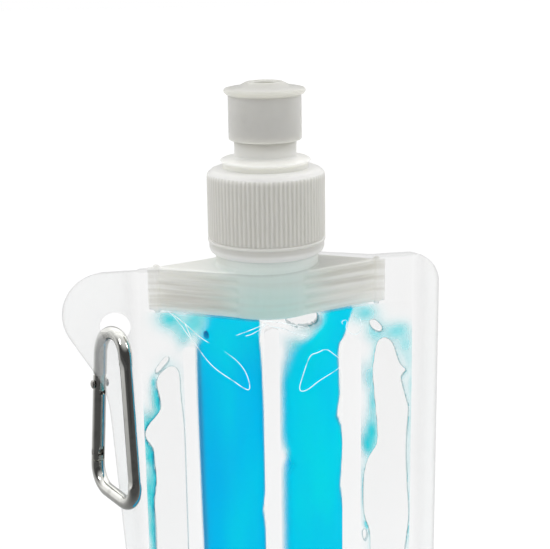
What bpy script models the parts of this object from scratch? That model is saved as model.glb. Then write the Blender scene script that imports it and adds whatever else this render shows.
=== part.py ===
# Foldable drink pouch that stands upright, with a push-pull screw cap and a carabiner.
# Metres, +Z up. The origin is on the floor, under the spout's axis. The front is at -Y.
import math

import bmesh
import bpy
import numpy as np
from mathutils import Matrix, Vector

MM = 0.001

# Clearances
TOUCH = 0.3 * MM          # between pieces that touch
RUN_GAP = 0.12 * MM       # round a pin that turns in its hole
FILM_FIT = 0.45 * MM      # between the film and the spout's boat
DRINK_FIT = 0.6 * MM      # between the film and the drink
STEPS = 48                # facets round a turned piece

# Film pouch, heights measured down from the boat's top face
BOAT_TOP = 215.0 * MM     # height of the boat's top face above the floor
FILM_THICK = 0.3 * MM
EDGE_RIGHT = 59.3 * MM
EDGE_LEFT_TOP = 55.4 * MM
EDGE_LEFT_LOW = 52.0 * MM
TAPER_TOP = 45.7 * MM     # the left edge leans in between these two depths
TAPER_LOW = 103.0 * MM
SEAM_LEFT = 44.0 * MM     # inner edges of the side seams
SEAM_RIGHT = 50.3 * MM
TOP_RISE = 0.25 * MM      # the top edge's height at the axis, and its slope
TOP_SLOPE = 0.027
TOP_BLEND = 12.0 * MM
CORNER_R = 10.5 * MM
FOOT_CORNER_R = 6.0 * MM
EAR_X = 54.7 * MM
EAR_R = 15.0 * MM
EAR_DROP = 16.2 * MM
EAR_ANGLE = math.radians(31.5)
EAR_FILLET = 1.5 * MM
EAR_HOLE_X = 52.1 * MM
EAR_HOLE_DROP = 20.5 * MM
EAR_HOLE_R = 5.1 * MM

# Weld strips between the four tubes: centre, width and the depth of the top end
STRIPS = [
    (-27.4 * MM, 4.3 * MM, 28.5 * MM),
    (1.1 * MM, 5.7 * MM, 22.4 * MM),
    (29.1 * MM, 7.0 * MM, 27.7 * MM),
]
STRIP_FOOT = 52.0 * MM    # height of the strips' lower ends above the floor
INNER_DEPTH = 9.5 * MM    # half-depths of the filled tubes
OUTER_DEPTH = 6.5 * MM
INNER_ROUND = 11.3 * MM   # distance from a weld at which a tube is at its full depth
OUTER_ROUND = 7.6 * MM
MANIFOLD_LOW = 42.0 * MM  # depth at which the tubes have left the boat's shape
PINCH_LOW = 20.6 * MM     # depth below which the welds pinch the film

# Standing base
BASE_DEPTH = 25.0 * MM
BASE_TOP = 50.0 * MM
SKIRT = 6.0 * MM
GUSSET_RIM = 4.0 * MM
GUSSET_THICK = 0.5 * MM

# Spout fitment
NECK_R = 17.3 * MM
NECK_WALL = 2.3 * MM
BORE_R = NECK_R - NECK_WALL
NECK_HEIGHT = 29.4 * MM
BOAT_HEIGHT = 15.0 * MM
WING_R = NECK_R - TOUCH
WING_TIP = 36.5 * MM
WING_TIP_HALF = 1.0 * MM
WELD_RIB = 0.5 * MM
WELD_RIB_WIDTH = 1.2 * MM
WELD_RIBS = 5
WELD_SLOPE = 0.3 * MM
HUB_DROP = 0.3 * MM
FIN_TIP = 40.5 * MM
FIN_HALF = 0.6 * MM
NUB_X = 37.6 * MM
NUB_R = 1.0 * MM
NUB_OUT = 0.8 * MM

# Cap and nozzle, heights above the boat's top face
LINER_THICK = 1.0 * MM
LINER_HOLE_R = BORE_R - 1.0 * MM
CAP_FOOT = 4.3 * MM
CAP_BEAD = 8.9 * MM
THREAD_ROOM = 1.0 * MM
CAP_WALL = 0.8 * MM
CAP_BORE_R = NECK_R + THREAD_ROOM
CAP_WALL_R = CAP_BORE_R + CAP_WALL
CAP_BEAD_R = CAP_WALL_R + 0.75 * MM
CAP_LIP_R = NECK_R + TOUCH + 0.35 * MM
CAP_SKIRT_R = CAP_WALL_R + 0.3 * MM
RIB_COUNT = 80
RIB_DEPTH = 0.5 * MM
RIB_ROOT_R = CAP_WALL_R + 0.15 * MM
RIB_CREST_R = RIB_ROOT_R + RIB_DEPTH
RIB_TOP = 31.4 * MM
SHOULDER = 33.0 * MM
COLLAR_R = 13.7 * MM
SNAP_RIM = 35.3 * MM
SNAP_RIM_R = 15.15 * MM
TOWER_R = 10.35 * MM
TOWER_BORE_R = 8.8 * MM
TOWER_TOP = 51.6 * MM
TOWER_BEAD = 0.5 * MM
PLUG_R = 3.8 * MM
WEB_THICK = 1.4 * MM
WEB_LOW = 38.5 * MM
WEB_HIGH = 41.5 * MM
NOZZLE_TRAVEL = 4.8 * MM
NOZZLE_FOOT = 42.2 * MM   # the skirt's foot, pulled up
NOZZLE_R = 12.13 * MM
NOZZLE_WALL = 0.95 * MM
NOZZLE_LIP = 58.6 * MM
NOZZLE_LIP_R = 13.5 * MM
NOZZLE_TOP = 61.2 * MM
NOZZLE_TOP_R = 5.3 * MM
NOZZLE_DOME_R = 9.1 * MM
OUTLET_R = PLUG_R + TOUCH
OUTLET_DEEP = 2.9 * MM

# Carabiner, in its own plane: X across, Z along, Y through; the origin is where it hangs
HANG_X = 52.8 * MM
HANG_GAP = 0.65 * MM
RING_TURN = math.radians(60.0)
RING_TILT = math.radians(3.9)
BAR_R = 2.35 * MM
GATE_X = -8.8 * MM
SPINE_TOP_X = 7.3 * MM
SPINE_LOW_X = 19.0 * MM
CROWN_LEFT_R = 9.0 * MM
CROWN_RIGHT_R = 7.0 * MM
FOOT_RIGHT_R = 7.0 * MM
FOOT_LEFT_R = 8.0 * MM
PIVOT_Z = -20.8 * MM
GATE_LENGTH = 27.9 * MM   # from the pivot to the gate's lower end
GATE_HEAD_R = 3.2 * MM
GATE_GAP = 0.45 * MM
NOSE_STUB = 0.65 * MM
RING_FOOT = PIVOT_Z - GATE_LENGTH - GATE_GAP - NOSE_STUB - FOOT_LEFT_R
LATCH_INSET = 2.7 * MM
LATCH_Z = PIVOT_Z - GATE_LENGTH + LATCH_INSET
PIN_R = 0.8 * MM
RIVET_HEAD_R = 1.5 * MM
RIVET_HEAD = 0.6 * MM
TONGUE_THICK = 1.6 * MM
TONGUE_HALF = 1.8 * MM
TONGUE_DROP = 2.4 * MM
SLOT_GAP = 0.3 * MM
GATE_BORE_R = 1.3 * MM
PLUNGER_R = 1.15 * MM
PLUNGER_LENGTH = 3.0 * MM
PLUNGER_TRAVEL = 0.45 * MM
SPRING_R = 0.95 * MM
SPRING_WIRE_R = 0.14 * MM
SPRING_TURNS = 7
SPRING_LENGTH = 11.0 * MM

# Rows of the film, as depths below the boat's top face and as heights above the floor
UPPER_ROWS_MM = [0, 1.2, 3.2, 6.5, 11, 15.6, 18, 20.6, 23, 26, 30, 36, 43, 51, 103]
FOOT_ROWS_MM = [52, 44, 35, 25, 15, 6, 0]
DRINK_TOP_ROW = 6
EAR_COLUMNS = 4

# Air left in the two outer tubes: centre, half width and depth of its top, with one height for the foot
AIR_POCKET_FOOT = 78.0 * MM
AIR_POCKETS = [
    ("left_air", -35.4 * MM, 4.9 * MM, 37.0 * MM),
    ("right_air", 41.6 * MM, 4.7 * MM, 29.0 * MM),
]


def clear_scene():
    for old in list(bpy.data.objects):
        bpy.data.objects.remove(old, do_unlink=True)


def make_collections():
    parts = bpy.data.collections.new("drink_pouch")
    cutters = bpy.data.collections.new("cutters")
    for collection in (parts, cutters):
        bpy.context.scene.collection.children.link(collection)
    return parts, cutters


clear_scene()
PARTS, CUTTERS = make_collections()


# Materials
def make_material(name, color, roughness, metallic=0.0, alpha=1.0):
    material = bpy.data.materials.new(name)
    material.use_nodes = True
    shader = material.node_tree.nodes["Principled BSDF"]
    shader.inputs["Base Color"].default_value = (*color, 1.0)
    shader.inputs["Roughness"].default_value = roughness
    shader.inputs["Metallic"].default_value = metallic
    shader.inputs["Alpha"].default_value = alpha
    return material


# Objects
def add_object(name, mesh, material=None, cutter=False):
    obj = bpy.data.objects.new(name, mesh)
    (CUTTERS if cutter else PARTS).objects.link(obj)
    if cutter:
        obj.hide_render = True
        obj.display_type = "WIRE"
    if material:
        mesh.materials.append(material)
    return obj


def shade(obj, degrees=40):
    obj.data.shade_smooth()
    obj.data.set_sharp_from_angle(angle=math.radians(degrees))


def apply_modifiers(obj):
    """Swap the object's mesh for its evaluated one, with loose caps welded."""
    bpy.context.view_layer.update()
    graph = bpy.context.evaluated_depsgraph_get()
    mesh = bpy.data.meshes.new_from_object(obj.evaluated_get(graph))
    bm = bmesh.new()
    bm.from_mesh(mesh)
    bmesh.ops.remove_doubles(bm, verts=bm.verts, dist=1e-6)
    bm.to_mesh(mesh)
    bm.free()
    obj.modifiers.clear()
    obj.data = mesh
    return obj


def boolean(obj, other, operation):
    modifier = obj.modifiers.new(operation.lower() + "_" + other.name, "BOOLEAN")
    modifier.operation = operation
    modifier.object = other
    modifier.solver = "EXACT"
    return modifier


def turned(name, profile, material=None, cutter=False, steps=STEPS):
    """A closed profile of (radius, height) points, turned about Z by a Screw modifier."""
    mesh = bpy.data.meshes.new(name)
    bm = bmesh.new()
    verts = [bm.verts.new((radius, 0, height)) for radius, height in profile]
    for first, second in zip(verts, verts[1:]):
        bm.edges.new((first, second))
    on_axis = profile[0][0] == 0 and profile[-1][0] == 0
    if not on_axis:
        bm.edges.new((verts[-1], verts[0]))
    bm.to_mesh(mesh)
    bm.free()
    obj = add_object(name, mesh, material, cutter)
    screw = obj.modifiers.new("turn", "SCREW")
    screw.steps = screw.render_steps = steps
    screw.use_merge_vertices = True
    screw.merge_threshold = 1e-6
    return obj


def rod(name, radius, low, high, material=None, cutter=False, steps=STEPS, along="Z"):
    """A cylinder between two heights, along Z or along the local Y axis."""
    mesh = bpy.data.meshes.new(name)
    bm = bmesh.new()
    turn = Matrix.Rotation(math.radians(90), 4, "X") if along == "Y" else Matrix.Identity(4)
    middle = (low + high) / 2
    shift = (0, middle, 0) if along == "Y" else (0, 0, middle)
    bmesh.ops.create_cone(bm, cap_ends=True, segments=steps, radius1=radius, radius2=radius,
                          depth=high - low, matrix=Matrix.Translation(shift) @ turn)
    bm.to_mesh(mesh)
    bm.free()
    return add_object(name, mesh, material, cutter)


def block(name, low, high, material=None, cutter=False):
    size = [b - a for a, b in zip(low, high)]
    centre = [(a + b) / 2 for a, b in zip(low, high)]
    mesh = bpy.data.meshes.new(name)
    bm = bmesh.new()
    matrix = Matrix.Translation(centre) @ Matrix.Diagonal((*size, 1))
    bmesh.ops.create_cube(bm, size=1, matrix=matrix)
    bm.to_mesh(mesh)
    bm.free()
    return add_object(name, mesh, material, cutter)


def flat_plate(name, outline, half, material=None, cutter=False, upright=True):
    """An outline extruded by half its thickness each way, from a filled 2D curve."""
    curve = bpy.data.curves.new(name, "CURVE")
    curve.dimensions = "2D"
    curve.fill_mode = "BOTH"
    curve.extrude = half
    spline = curve.splines.new("POLY")
    spline.points.add(len(outline) - 1)
    for point, (across, along) in zip(spline.points, outline):
        point.co = (across, along, 0, 1)
    spline.use_cyclic_u = True
    obj = bpy.data.objects.new(name, curve)
    PARTS.objects.link(obj)
    bpy.context.view_layer.update()
    graph = bpy.context.evaluated_depsgraph_get()
    mesh = bpy.data.meshes.new_from_object(obj.evaluated_get(graph))
    bpy.data.objects.remove(obj, do_unlink=True)
    bm = bmesh.new()
    bm.from_mesh(mesh)
    bmesh.ops.remove_doubles(bm, verts=bm.verts, dist=1e-6)
    if upright:
        bmesh.ops.rotate(bm, verts=bm.verts, matrix=Matrix.Rotation(math.radians(90), 3, "X"))
    bmesh.ops.recalc_face_normals(bm, faces=bm.faces)
    bm.to_mesh(mesh)
    bm.free()
    return add_object(name, mesh, material, cutter)


def wire(name, points, radius, material=None, sides=2):
    """A round bar along the points, made a mesh with its end caps welded."""
    curve = bpy.data.curves.new(name, "CURVE")
    curve.dimensions = "3D"
    curve.bevel_depth = radius
    curve.bevel_resolution = sides
    curve.use_fill_caps = True
    spline = curve.splines.new("POLY")
    spline.points.add(len(points) - 1)
    for point, place in zip(spline.points, points):
        point.co = (*place, 1)
    obj = bpy.data.objects.new(name, curve)
    PARTS.objects.link(obj)
    bpy.context.view_layer.update()
    graph = bpy.context.evaluated_depsgraph_get()
    mesh = bpy.data.meshes.new_from_object(obj.evaluated_get(graph))
    bpy.data.objects.remove(obj, do_unlink=True)
    bm = bmesh.new()
    bm.from_mesh(mesh)
    bmesh.ops.remove_doubles(bm, verts=bm.verts, dist=1e-6)
    bmesh.ops.recalc_face_normals(bm, faces=bm.faces)
    bm.to_mesh(mesh)
    bm.free()
    return add_object(name, mesh, material)


# Shape helpers
def smooth(value, low, high):
    share = min(max((value - low) / (high - low), 0.0), 1.0)
    return share * share * (3 - 2 * share)


def mix(first, second, share):
    return first + (second - first) * share


def rounded_path(corners, radii, step=math.radians(22.5)):
    """An open path through the corners, each one turned on an arc of its radius."""
    points = [Vector(corners[0])]
    for before, corner, after, radius in zip(corners, corners[1:], corners[2:], radii):
        before, corner, after = Vector(before), Vector(corner), Vector(after)
        incoming = (corner - before).normalized()
        outgoing = (after - corner).normalized()
        turn = incoming.angle_signed(outgoing)
        reach = radius * math.tan(abs(turn) / 2)
        side = -math.copysign(1, turn)
        centre = corner - incoming * reach + side * radius * Vector((-incoming.y, incoming.x))
        start = corner - incoming * reach - centre
        count = max(2, math.ceil(abs(turn) / step))
        for index in range(count + 1):
            angle = side * abs(turn) * index / count
            points.append(centre + Matrix.Rotation(angle, 2) @ start)
    points.append(Vector(corners[-1]))
    return [(point.x, point.y) for point in points]


# The boat's plan outline
def wing_tangent():
    """Where a line from the wing's tip touches the hub's circle."""
    reach = math.hypot(WING_TIP, WING_TIP_HALF)
    angle = math.atan2(WING_TIP_HALF, WING_TIP) + math.acos(WING_R / reach)
    return WING_R * math.cos(angle), WING_R * math.sin(angle)


def wing_half(x):
    """Half-depth of the wings' rib crests at a distance x from the axis."""
    touch_x, touch_y = wing_tangent()
    share = (min(abs(x), WING_TIP) - touch_x) / (WING_TIP - touch_x)
    return mix(touch_y, WING_TIP_HALF, max(share, 0.0))


def film_round_boat(x):
    """Half-depth of the film's inner face where it lies on the boat."""
    hub = math.sqrt(max(NECK_R ** 2 - x * x, 0.0))
    fin = NUB_R + 0.25 * MM
    boat = max(hub, wing_half(x) if abs(x) < WING_TIP else 0.0, fin)
    return boat + FILM_FIT


# The film's outline and depth
def edge_left(z):
    """x of the film's left edge at a height z above the boat's top face, as a distance."""
    tangent_x = EAR_X + EAR_R * math.cos(EAR_ANGLE)
    tangent_z = -EAR_DROP - EAR_R * math.sin(EAR_ANGLE)
    if z >= tangent_z:
        rise = min(abs(z + EAR_DROP), EAR_R)
        return EAR_X + math.sqrt(EAR_R ** 2 - rise ** 2)
    slope = tangent_x - (tangent_z - z) * math.tan(EAR_ANGLE)
    share = min(max((-z - TAPER_TOP) / (TAPER_LOW - TAPER_TOP), 0.0), 1.0)
    side = mix(EDGE_LEFT_TOP, EDGE_LEFT_LOW, share)
    blend = EAR_FILLET * math.log(1 + math.exp(-abs(slope - side) / EAR_FILLET))
    return max(slope, side) + blend - foot_corner(z)


def edge_right(z):
    centre_z = TOP_RISE + TOP_SLOPE * (EDGE_RIGHT - CORNER_R) - CORNER_R
    rise = min(max(z - centre_z, 0.0), CORNER_R)
    return EDGE_RIGHT - CORNER_R + math.sqrt(CORNER_R ** 2 - rise ** 2) - foot_corner(z)


def foot_corner(z):
    """How far the round lower corner has drawn the side edge in."""
    below = min(max(FOOT_CORNER_R - (z + BOAT_TOP), 0.0), FOOT_CORNER_R)
    return FOOT_CORNER_R - math.sqrt(FOOT_CORNER_R ** 2 - below ** 2)


def weld_distance(x, z):
    """Distance from the nearest weld: a side seam or one of the strips."""
    nearest = min(x + SEAM_LEFT, SEAM_RIGHT - x)
    for centre, width, top in STRIPS:
        high = -top - width / 2
        low = STRIP_FOOT + width / 2 - BOAT_TOP
        along = min(max(z, low), high)
        nearest = min(nearest, math.hypot(x - centre, z - along) - width / 2)
    return max(nearest, 0.0)


def film_half(x, z):
    """Half-depth of the film's inner face at x and at a height z above the boat's top face."""
    seal = TOUCH / 2
    if x <= -SEAM_LEFT or x >= SEAM_RIGHT:
        return seal
    outer = max(smooth(-x, -STRIPS[0][0] - 4 * MM, -STRIPS[0][0] + 4 * MM),
                smooth(x, STRIPS[2][0] - 4 * MM, STRIPS[2][0] + 4 * MM))
    depth = mix(INNER_DEPTH, OUTER_DEPTH, outer)
    reach = mix(INNER_ROUND, OUTER_ROUND, outer)
    near = 1 - min(weld_distance(x, z) / reach, 1.0)
    pillow = math.sqrt(1 - near * near)
    boat_share = smooth(-z, MANIFOLD_LOW, BOAT_HEIGHT + 0.6 * MM)
    held = smooth(-z, PINCH_LOW, BOAT_HEIGHT + 0.6 * MM)
    pillow = mix(pillow, 1.0, held)
    tubes = mix(depth, film_round_boat(x), boat_share) * pillow
    middle = (SEAM_RIGHT - SEAM_LEFT) / 2
    half_length = (SEAM_RIGHT + SEAM_LEFT) / 2
    base = BASE_DEPTH * math.sqrt(max(1 - ((x - middle) / half_length) ** 2, 0.0))
    base_share = smooth(-(z + BOAT_TOP), -BASE_TOP, -SKIRT)
    return max(seal, mix(tubes, base, base_share))


def column_places():
    """Columns of the film inside the seams, closer together where a tube rounds off."""
    edges = [-SEAM_LEFT]
    for centre, width, _ in STRIPS:
        edges += [centre - width / 2, centre + width / 2]
    edges.append(SEAM_RIGHT)
    counts = [3, 1, 5, 1, 5, 1, 4]
    columns = [edges[0]]
    for low, high, count in zip(edges, edges[1:], counts):
        for index in range(1, count + 1):
            share = index / count
            rounder = (1 - math.cos(math.pi * share)) / 2
            columns.append(mix(low, high, mix(share, rounder, 0.6)))
    return columns


INNER_COLUMNS = column_places()
ROWS = [depth * MM for depth in UPPER_ROWS_MM] + [BOAT_TOP - height * MM for height in FOOT_ROWS_MM]


def film_grid_point(column, depth):
    """x and z of a point of the film's grid."""
    fade = max(1 - depth / TOP_BLEND, 0.0)

    def height(x):
        return (TOP_RISE + TOP_SLOPE * x) * fade - depth

    left = -edge_left(height(-EAR_X))
    right = edge_right(height(EDGE_RIGHT - CORNER_R))
    if column < EAR_COLUMNS:
        x = mix(left, -SEAM_LEFT, column / EAR_COLUMNS)
    elif column < EAR_COLUMNS + len(INNER_COLUMNS):
        x = INNER_COLUMNS[column - EAR_COLUMNS]
    else:
        x = max(right, SEAM_RIGHT + 0.4 * MM)
    return x, height(x)


def film_surface(name, columns, rows, side, inset):
    """An open grid over the columns and rows, at the film's depth less an inset."""
    mesh = bpy.data.meshes.new(name)
    bm = bmesh.new()
    count_x, count_z = len(columns), len(rows)
    bmesh.ops.create_grid(bm, x_segments=count_x - 1, y_segments=count_z - 1, size=1)
    bmesh.ops.triangulate(bm, faces=bm.faces, quad_method="FIXED")
    for vert in bm.verts:
        column = round((vert.co.x + 1) / 2 * (count_x - 1))
        row = round((1 - vert.co.y) / 2 * (count_z - 1))
        x, z = film_grid_point(columns[column], rows[row])
        depth = max(film_half(x, z) - inset, 0.05 * MM)
        vert.co = (x, side * depth, z + BOAT_TOP)
    return mesh, bm


def make_film(name, side, material):
    columns = list(range(EAR_COLUMNS + len(INNER_COLUMNS) + 1))
    mesh, bm = film_surface(name, columns, ROWS, side, 0.0)
    if side > 0:
        bmesh.ops.reverse_faces(bm, faces=bm.faces)
    bm.to_mesh(mesh)
    bm.free()
    film = add_object(name, mesh, material)
    wall = film.modifiers.new("wall", "SOLIDIFY")
    wall.thickness = FILM_THICK
    wall.offset = 1.0
    hole = rod(name + "_ear_hole", EAR_HOLE_R, -5 * MM, 5 * MM, cutter=True, steps=32, along="Y")
    hole.location = (-EAR_HOLE_X, 0, BOAT_TOP - EAR_HOLE_DROP)
    boolean(film, hole, "DIFFERENCE")
    shade(film)
    return film


# The standing base
def base_outline(inset):
    """The base's outline at the film's own columns, drawn in by an inset."""
    inner = [x for x in INNER_COLUMNS[1:-1]]
    halves = [film_half(x, -BOAT_TOP) - inset for x in inner]
    front = [(x, -half) for x, half in zip(inner, halves)]
    back = [(x, half) for x, half in zip(reversed(inner), reversed(halves))]
    return front + back


def make_gusset(material):
    rim = GUSSET_RIM / 2
    gusset = flat_plate("bottom_gusset", base_outline(TOUCH), rim, material, upright=False)
    hollow = flat_plate("gusset_hollow", base_outline(TOUCH + GUSSET_THICK), rim, cutter=True, upright=False)
    gusset.location.z = rim
    hollow.location.z = rim + GUSSET_THICK
    boolean(gusset, hollow, "DIFFERENCE")
    return gusset


# The drink
def make_drink(material):
    columns = list(range(EAR_COLUMNS + 1, EAR_COLUMNS + len(INNER_COLUMNS) - 1))
    floor = BOAT_TOP - GUSSET_RIM - 2 * TOUCH
    rows = [row for row in ROWS[DRINK_TOP_ROW:] if row < floor] + [floor]
    mesh, bm = film_surface("drink", columns, rows, -1, DRINK_FIT)
    fronts = {vert: vert.co.copy() for vert in bm.verts}
    result = bmesh.ops.extrude_face_region(bm, geom=list(bm.faces))
    for item in result["geom"]:
        if isinstance(item, bmesh.types.BMVert):
            item.co.y = -item.co.y
    for vert, place in fronts.items():
        if vert.is_valid:
            vert.co = place
    bmesh.ops.recalc_face_normals(bm, faces=bm.faces)
    bm.to_mesh(mesh)
    bm.free()
    drink = add_object("drink", mesh, material)
    sole = GUSSET_THICK + TOUCH
    rise = BOAT_TOP - floor + 1 * MM - sole
    foot = flat_plate("drink_foot", base_outline(sole + TOUCH), rise / 2, cutter=True, upright=False)
    foot.location.z = sole + rise / 2
    boolean(drink, foot, "UNION")
    margin = 2 * DRINK_FIT
    for index, (centre, width, top) in enumerate(STRIPS):
        low, high = STRIP_FOOT, BOAT_TOP - top
        cut = capsule("strip_cut_%d" % index, centre, width / 2 + margin, low - margin, high + margin)
        boolean(drink, cut, "DIFFERENCE")
    for name, centre, half, high in AIR_POCKETS:
        cut = capsule(name, centre, half, AIR_POCKET_FOOT, BOAT_TOP - high)
        boolean(drink, cut, "DIFFERENCE")
    shade(drink)
    return drink


def capsule(name, centre, half, low, high):
    """A cutter with round ends, upright, right through the pouch."""
    outline = []
    for index in range(9):
        angle = math.pi * index / 8
        outline.append((centre + half * math.cos(angle), high - half + half * math.sin(angle)))
    for index in range(9):
        angle = math.pi + math.pi * index / 8
        outline.append((centre + half * math.cos(angle), low + half + half * math.sin(angle)))
    return flat_plate(name, outline, 40 * MM, cutter=True)


# The spout fitment
def make_fitment(material):
    hub_foot = -BOAT_HEIGHT - HUB_DROP
    profile = [
        (BORE_R, NECK_HEIGHT), (NECK_R - 0.5 * MM, NECK_HEIGHT), (NECK_R, NECK_HEIGHT - 0.5 * MM),
        (NECK_R, hub_foot + 0.4 * MM), (NECK_R - 0.4 * MM, hub_foot), (BORE_R, hub_foot),
    ]
    fitment = turned("spout_fitment", profile, material)
    fitment.location.z = BOAT_TOP
    bore = rod("boat_bore", (BORE_R + NECK_R) / 2, hub_foot - 2 * MM, 1 * MM, cutter=True)
    wings = make_wings()
    boolean(wings, bore, "DIFFERENCE")
    for other in (wings, bore):
        other.location.z = BOAT_TOP
    boolean(fitment, wings, "UNION")
    for side in (-1, 1):
        fin = block("fin_%d" % side, (0, -FIN_HALF, -BOAT_HEIGHT + 0.1 * MM),
                    (FIN_TIP - WING_TIP + 1 * MM, FIN_HALF, -0.1 * MM), cutter=True)
        fin.location = ((WING_TIP - 1 * MM) if side > 0 else -FIN_TIP, 0, BOAT_TOP)
        nub = rod("nub_%d" % side, NUB_R, -BOAT_HEIGHT - NUB_OUT, NUB_OUT, cutter=True, steps=12)
        nub.location = (side * NUB_X, 0, BOAT_TOP)
        boolean(fitment, fin, "UNION")
        boolean(fitment, nub, "UNION")
    shade(fitment)
    return fitment


def make_wings():
    """The ribbed wings: one plan outline lofted down through crests and grooves."""
    touch_x, touch_y = wing_tangent()

    def outline(inset):
        corners = [(WING_TIP, WING_TIP_HALF - inset / 2), (touch_x, touch_y - inset)]
        corners += [(-x, y) for x, y in reversed(corners)]
        return corners + [(x, -y) for x, y in reversed(corners)]

    pitch = (BOAT_HEIGHT - WELD_RIB_WIDTH) / (WELD_RIBS - 1)
    levels = []
    for index in range(WELD_RIBS):
        top = -index * pitch
        levels += [(top, 0.0), (top - WELD_RIB_WIDTH, 0.0)]
        if index < WELD_RIBS - 1:
            groove = top - WELD_RIB_WIDTH - WELD_SLOPE
            levels += [(groove, WELD_RIB), (top - pitch + WELD_SLOPE, WELD_RIB)]
    mesh = bpy.data.meshes.new("wings")
    bm = bmesh.new()
    rings = []
    for height, inset in levels:
        rings.append([bm.verts.new((x, y, height)) for x, y in outline(inset)])
    for upper, lower in zip(rings, rings[1:]):
        for index in range(len(upper)):
            following = (index + 1) % len(upper)
            bm.faces.new((upper[index], upper[following], lower[following], lower[index]))
    bm.faces.new(rings[0])
    bm.faces.new(rings[-1])
    bmesh.ops.recalc_face_normals(bm, faces=bm.faces)
    bm.to_mesh(mesh)
    bm.free()
    return add_object("wings", mesh, cutter=True)


# The cap
def make_liner(material):
    low = NECK_HEIGHT + TOUCH
    high = low + LINER_THICK
    outer = CAP_BORE_R - TOUCH
    profile = [(LINER_HOLE_R, high), (outer, high), (outer, low), (LINER_HOLE_R, low)]
    liner = turned("cap_liner", profile, material)
    liner.location.z = BOAT_TOP
    return liner


def make_cap(material):
    ceiling = NECK_HEIGHT + LINER_THICK + 2 * TOUCH
    bead = TOWER_R + TOWER_BEAD
    stop = NOZZLE_FOOT + 1.8 * MM
    outer = [
        (TOWER_BORE_R, TOWER_TOP), (bead - 0.3 * MM, TOWER_TOP), (bead, TOWER_TOP - 0.3 * MM),
        (bead, TOWER_TOP - 1 * MM), (TOWER_R, TOWER_TOP - 1.5 * MM), (TOWER_R, stop + 1.4 * MM),
        (bead, stop + 1 * MM), (bead, stop), (TOWER_R, stop - 0.3 * MM),
        (TOWER_R, SNAP_RIM + 1.8 * MM), (TOWER_R + 0.6 * MM, SNAP_RIM + 1.3 * MM),
        (SNAP_RIM_R - 0.8 * MM, SNAP_RIM + 0.7 * MM), (SNAP_RIM_R, SNAP_RIM),
        (COLLAR_R, SNAP_RIM - 0.8 * MM), (COLLAR_R, SHOULDER), (RIB_ROOT_R - 1.6 * MM, SHOULDER - 0.5 * MM),
        (RIB_ROOT_R - 0.5 * MM, SHOULDER - 1 * MM), (CAP_WALL_R, RIB_TOP), (CAP_WALL_R, CAP_BEAD + 0.6 * MM),
        (CAP_BEAD_R, CAP_BEAD + 0.3 * MM), (CAP_BEAD_R, CAP_BEAD - 0.3 * MM),
        (CAP_SKIRT_R, CAP_BEAD - 0.7 * MM), (CAP_SKIRT_R, CAP_FOOT + 1.8 * MM),
        (CAP_SKIRT_R - 0.4 * MM, CAP_FOOT + 0.9 * MM), (CAP_LIP_R + 0.3 * MM, CAP_FOOT + 0.2 * MM),
        (CAP_LIP_R, CAP_FOOT),
    ]
    inner = [
        (NECK_R + TOUCH, CAP_FOOT), (NECK_R + TOUCH, CAP_FOOT + 0.6 * MM), (CAP_BORE_R, CAP_FOOT + 1.6 * MM),
        (CAP_BORE_R, ceiling), (TOWER_BORE_R, ceiling),
    ]
    cap = turned("screw_cap", outer + inner, material)
    cap.location.z = BOAT_TOP
    ribs = make_ribs()
    plug_top = NOZZLE_TOP - NOZZLE_TRAVEL
    plug = turned("plug", [
        (0, plug_top), (PLUG_R - 0.8 * MM, plug_top), (PLUG_R, plug_top - 0.8 * MM), (PLUG_R, WEB_LOW), (0, WEB_LOW),
    ], cutter=True, steps=24)
    for piece in (ribs, plug):
        piece.location.z = BOAT_TOP
    boolean(cap, ribs, "UNION")
    for index in range(3):
        web = block("web_%d" % index, (0, -WEB_THICK / 2, WEB_LOW),
                    (TOWER_BORE_R + 0.5 * MM, WEB_THICK / 2, WEB_HIGH), cutter=True)
        web.rotation_euler.z = math.radians(120 * index + 90)
        boolean(plug, web, "UNION")
        web.location.z = BOAT_TOP
    boolean(cap, plug, "UNION")
    shade(cap, 30)
    return cap


def make_ribs():
    """The grip: a ring of ribs round the cap's wall, a crest and a root for each."""
    buried = (CAP_WALL_R + CAP_BORE_R) / 2
    foot = CAP_BEAD + 0.5 * MM
    levels = [
        (buried, buried, RIB_TOP), (RIB_ROOT_R, RIB_ROOT_R - 0.1 * MM, RIB_TOP),
        (RIB_CREST_R, RIB_ROOT_R, RIB_TOP - 0.7 * MM), (RIB_CREST_R, RIB_ROOT_R, foot), (buried, buried, foot),
    ]
    mesh = bpy.data.meshes.new("ribs")
    bm = bmesh.new()
    first = bmesh.ops.create_circle(bm, segments=2 * RIB_COUNT, radius=1.0)["verts"]
    angles = [math.atan2(vert.co.y, vert.co.x) for vert in first]
    rings = [first]
    for _ in levels[1:]:
        edges = list({edge for vert in rings[-1] for edge in vert.link_edges
                      if all(end in rings[-1] for end in edge.verts)})
        made = bmesh.ops.extrude_edge_only(bm, edges=edges)["geom"]
        fresh = [item for item in made if isinstance(item, bmesh.types.BMVert)]
        nearest = {round(math.atan2(v.co.y, v.co.x), 4): v for v in fresh}
        rings.append([nearest[round(angle, 4)] for angle in angles])
    for ring, (crest, root, height) in zip(rings, levels):
        for index, (vert, angle) in enumerate(zip(ring, angles)):
            radius = crest if index % 2 else root
            vert.co = (radius * math.cos(angle), radius * math.sin(angle), height)
    for index in range(len(first)):
        following = (index + 1) % len(first)
        bm.faces.new((rings[0][index], rings[0][following], rings[-1][following], rings[-1][index]))
    bmesh.ops.recalc_face_normals(bm, faces=bm.faces)
    bm.to_mesh(mesh)
    bm.free()
    return add_object("ribs", mesh, cutter=True)


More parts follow.
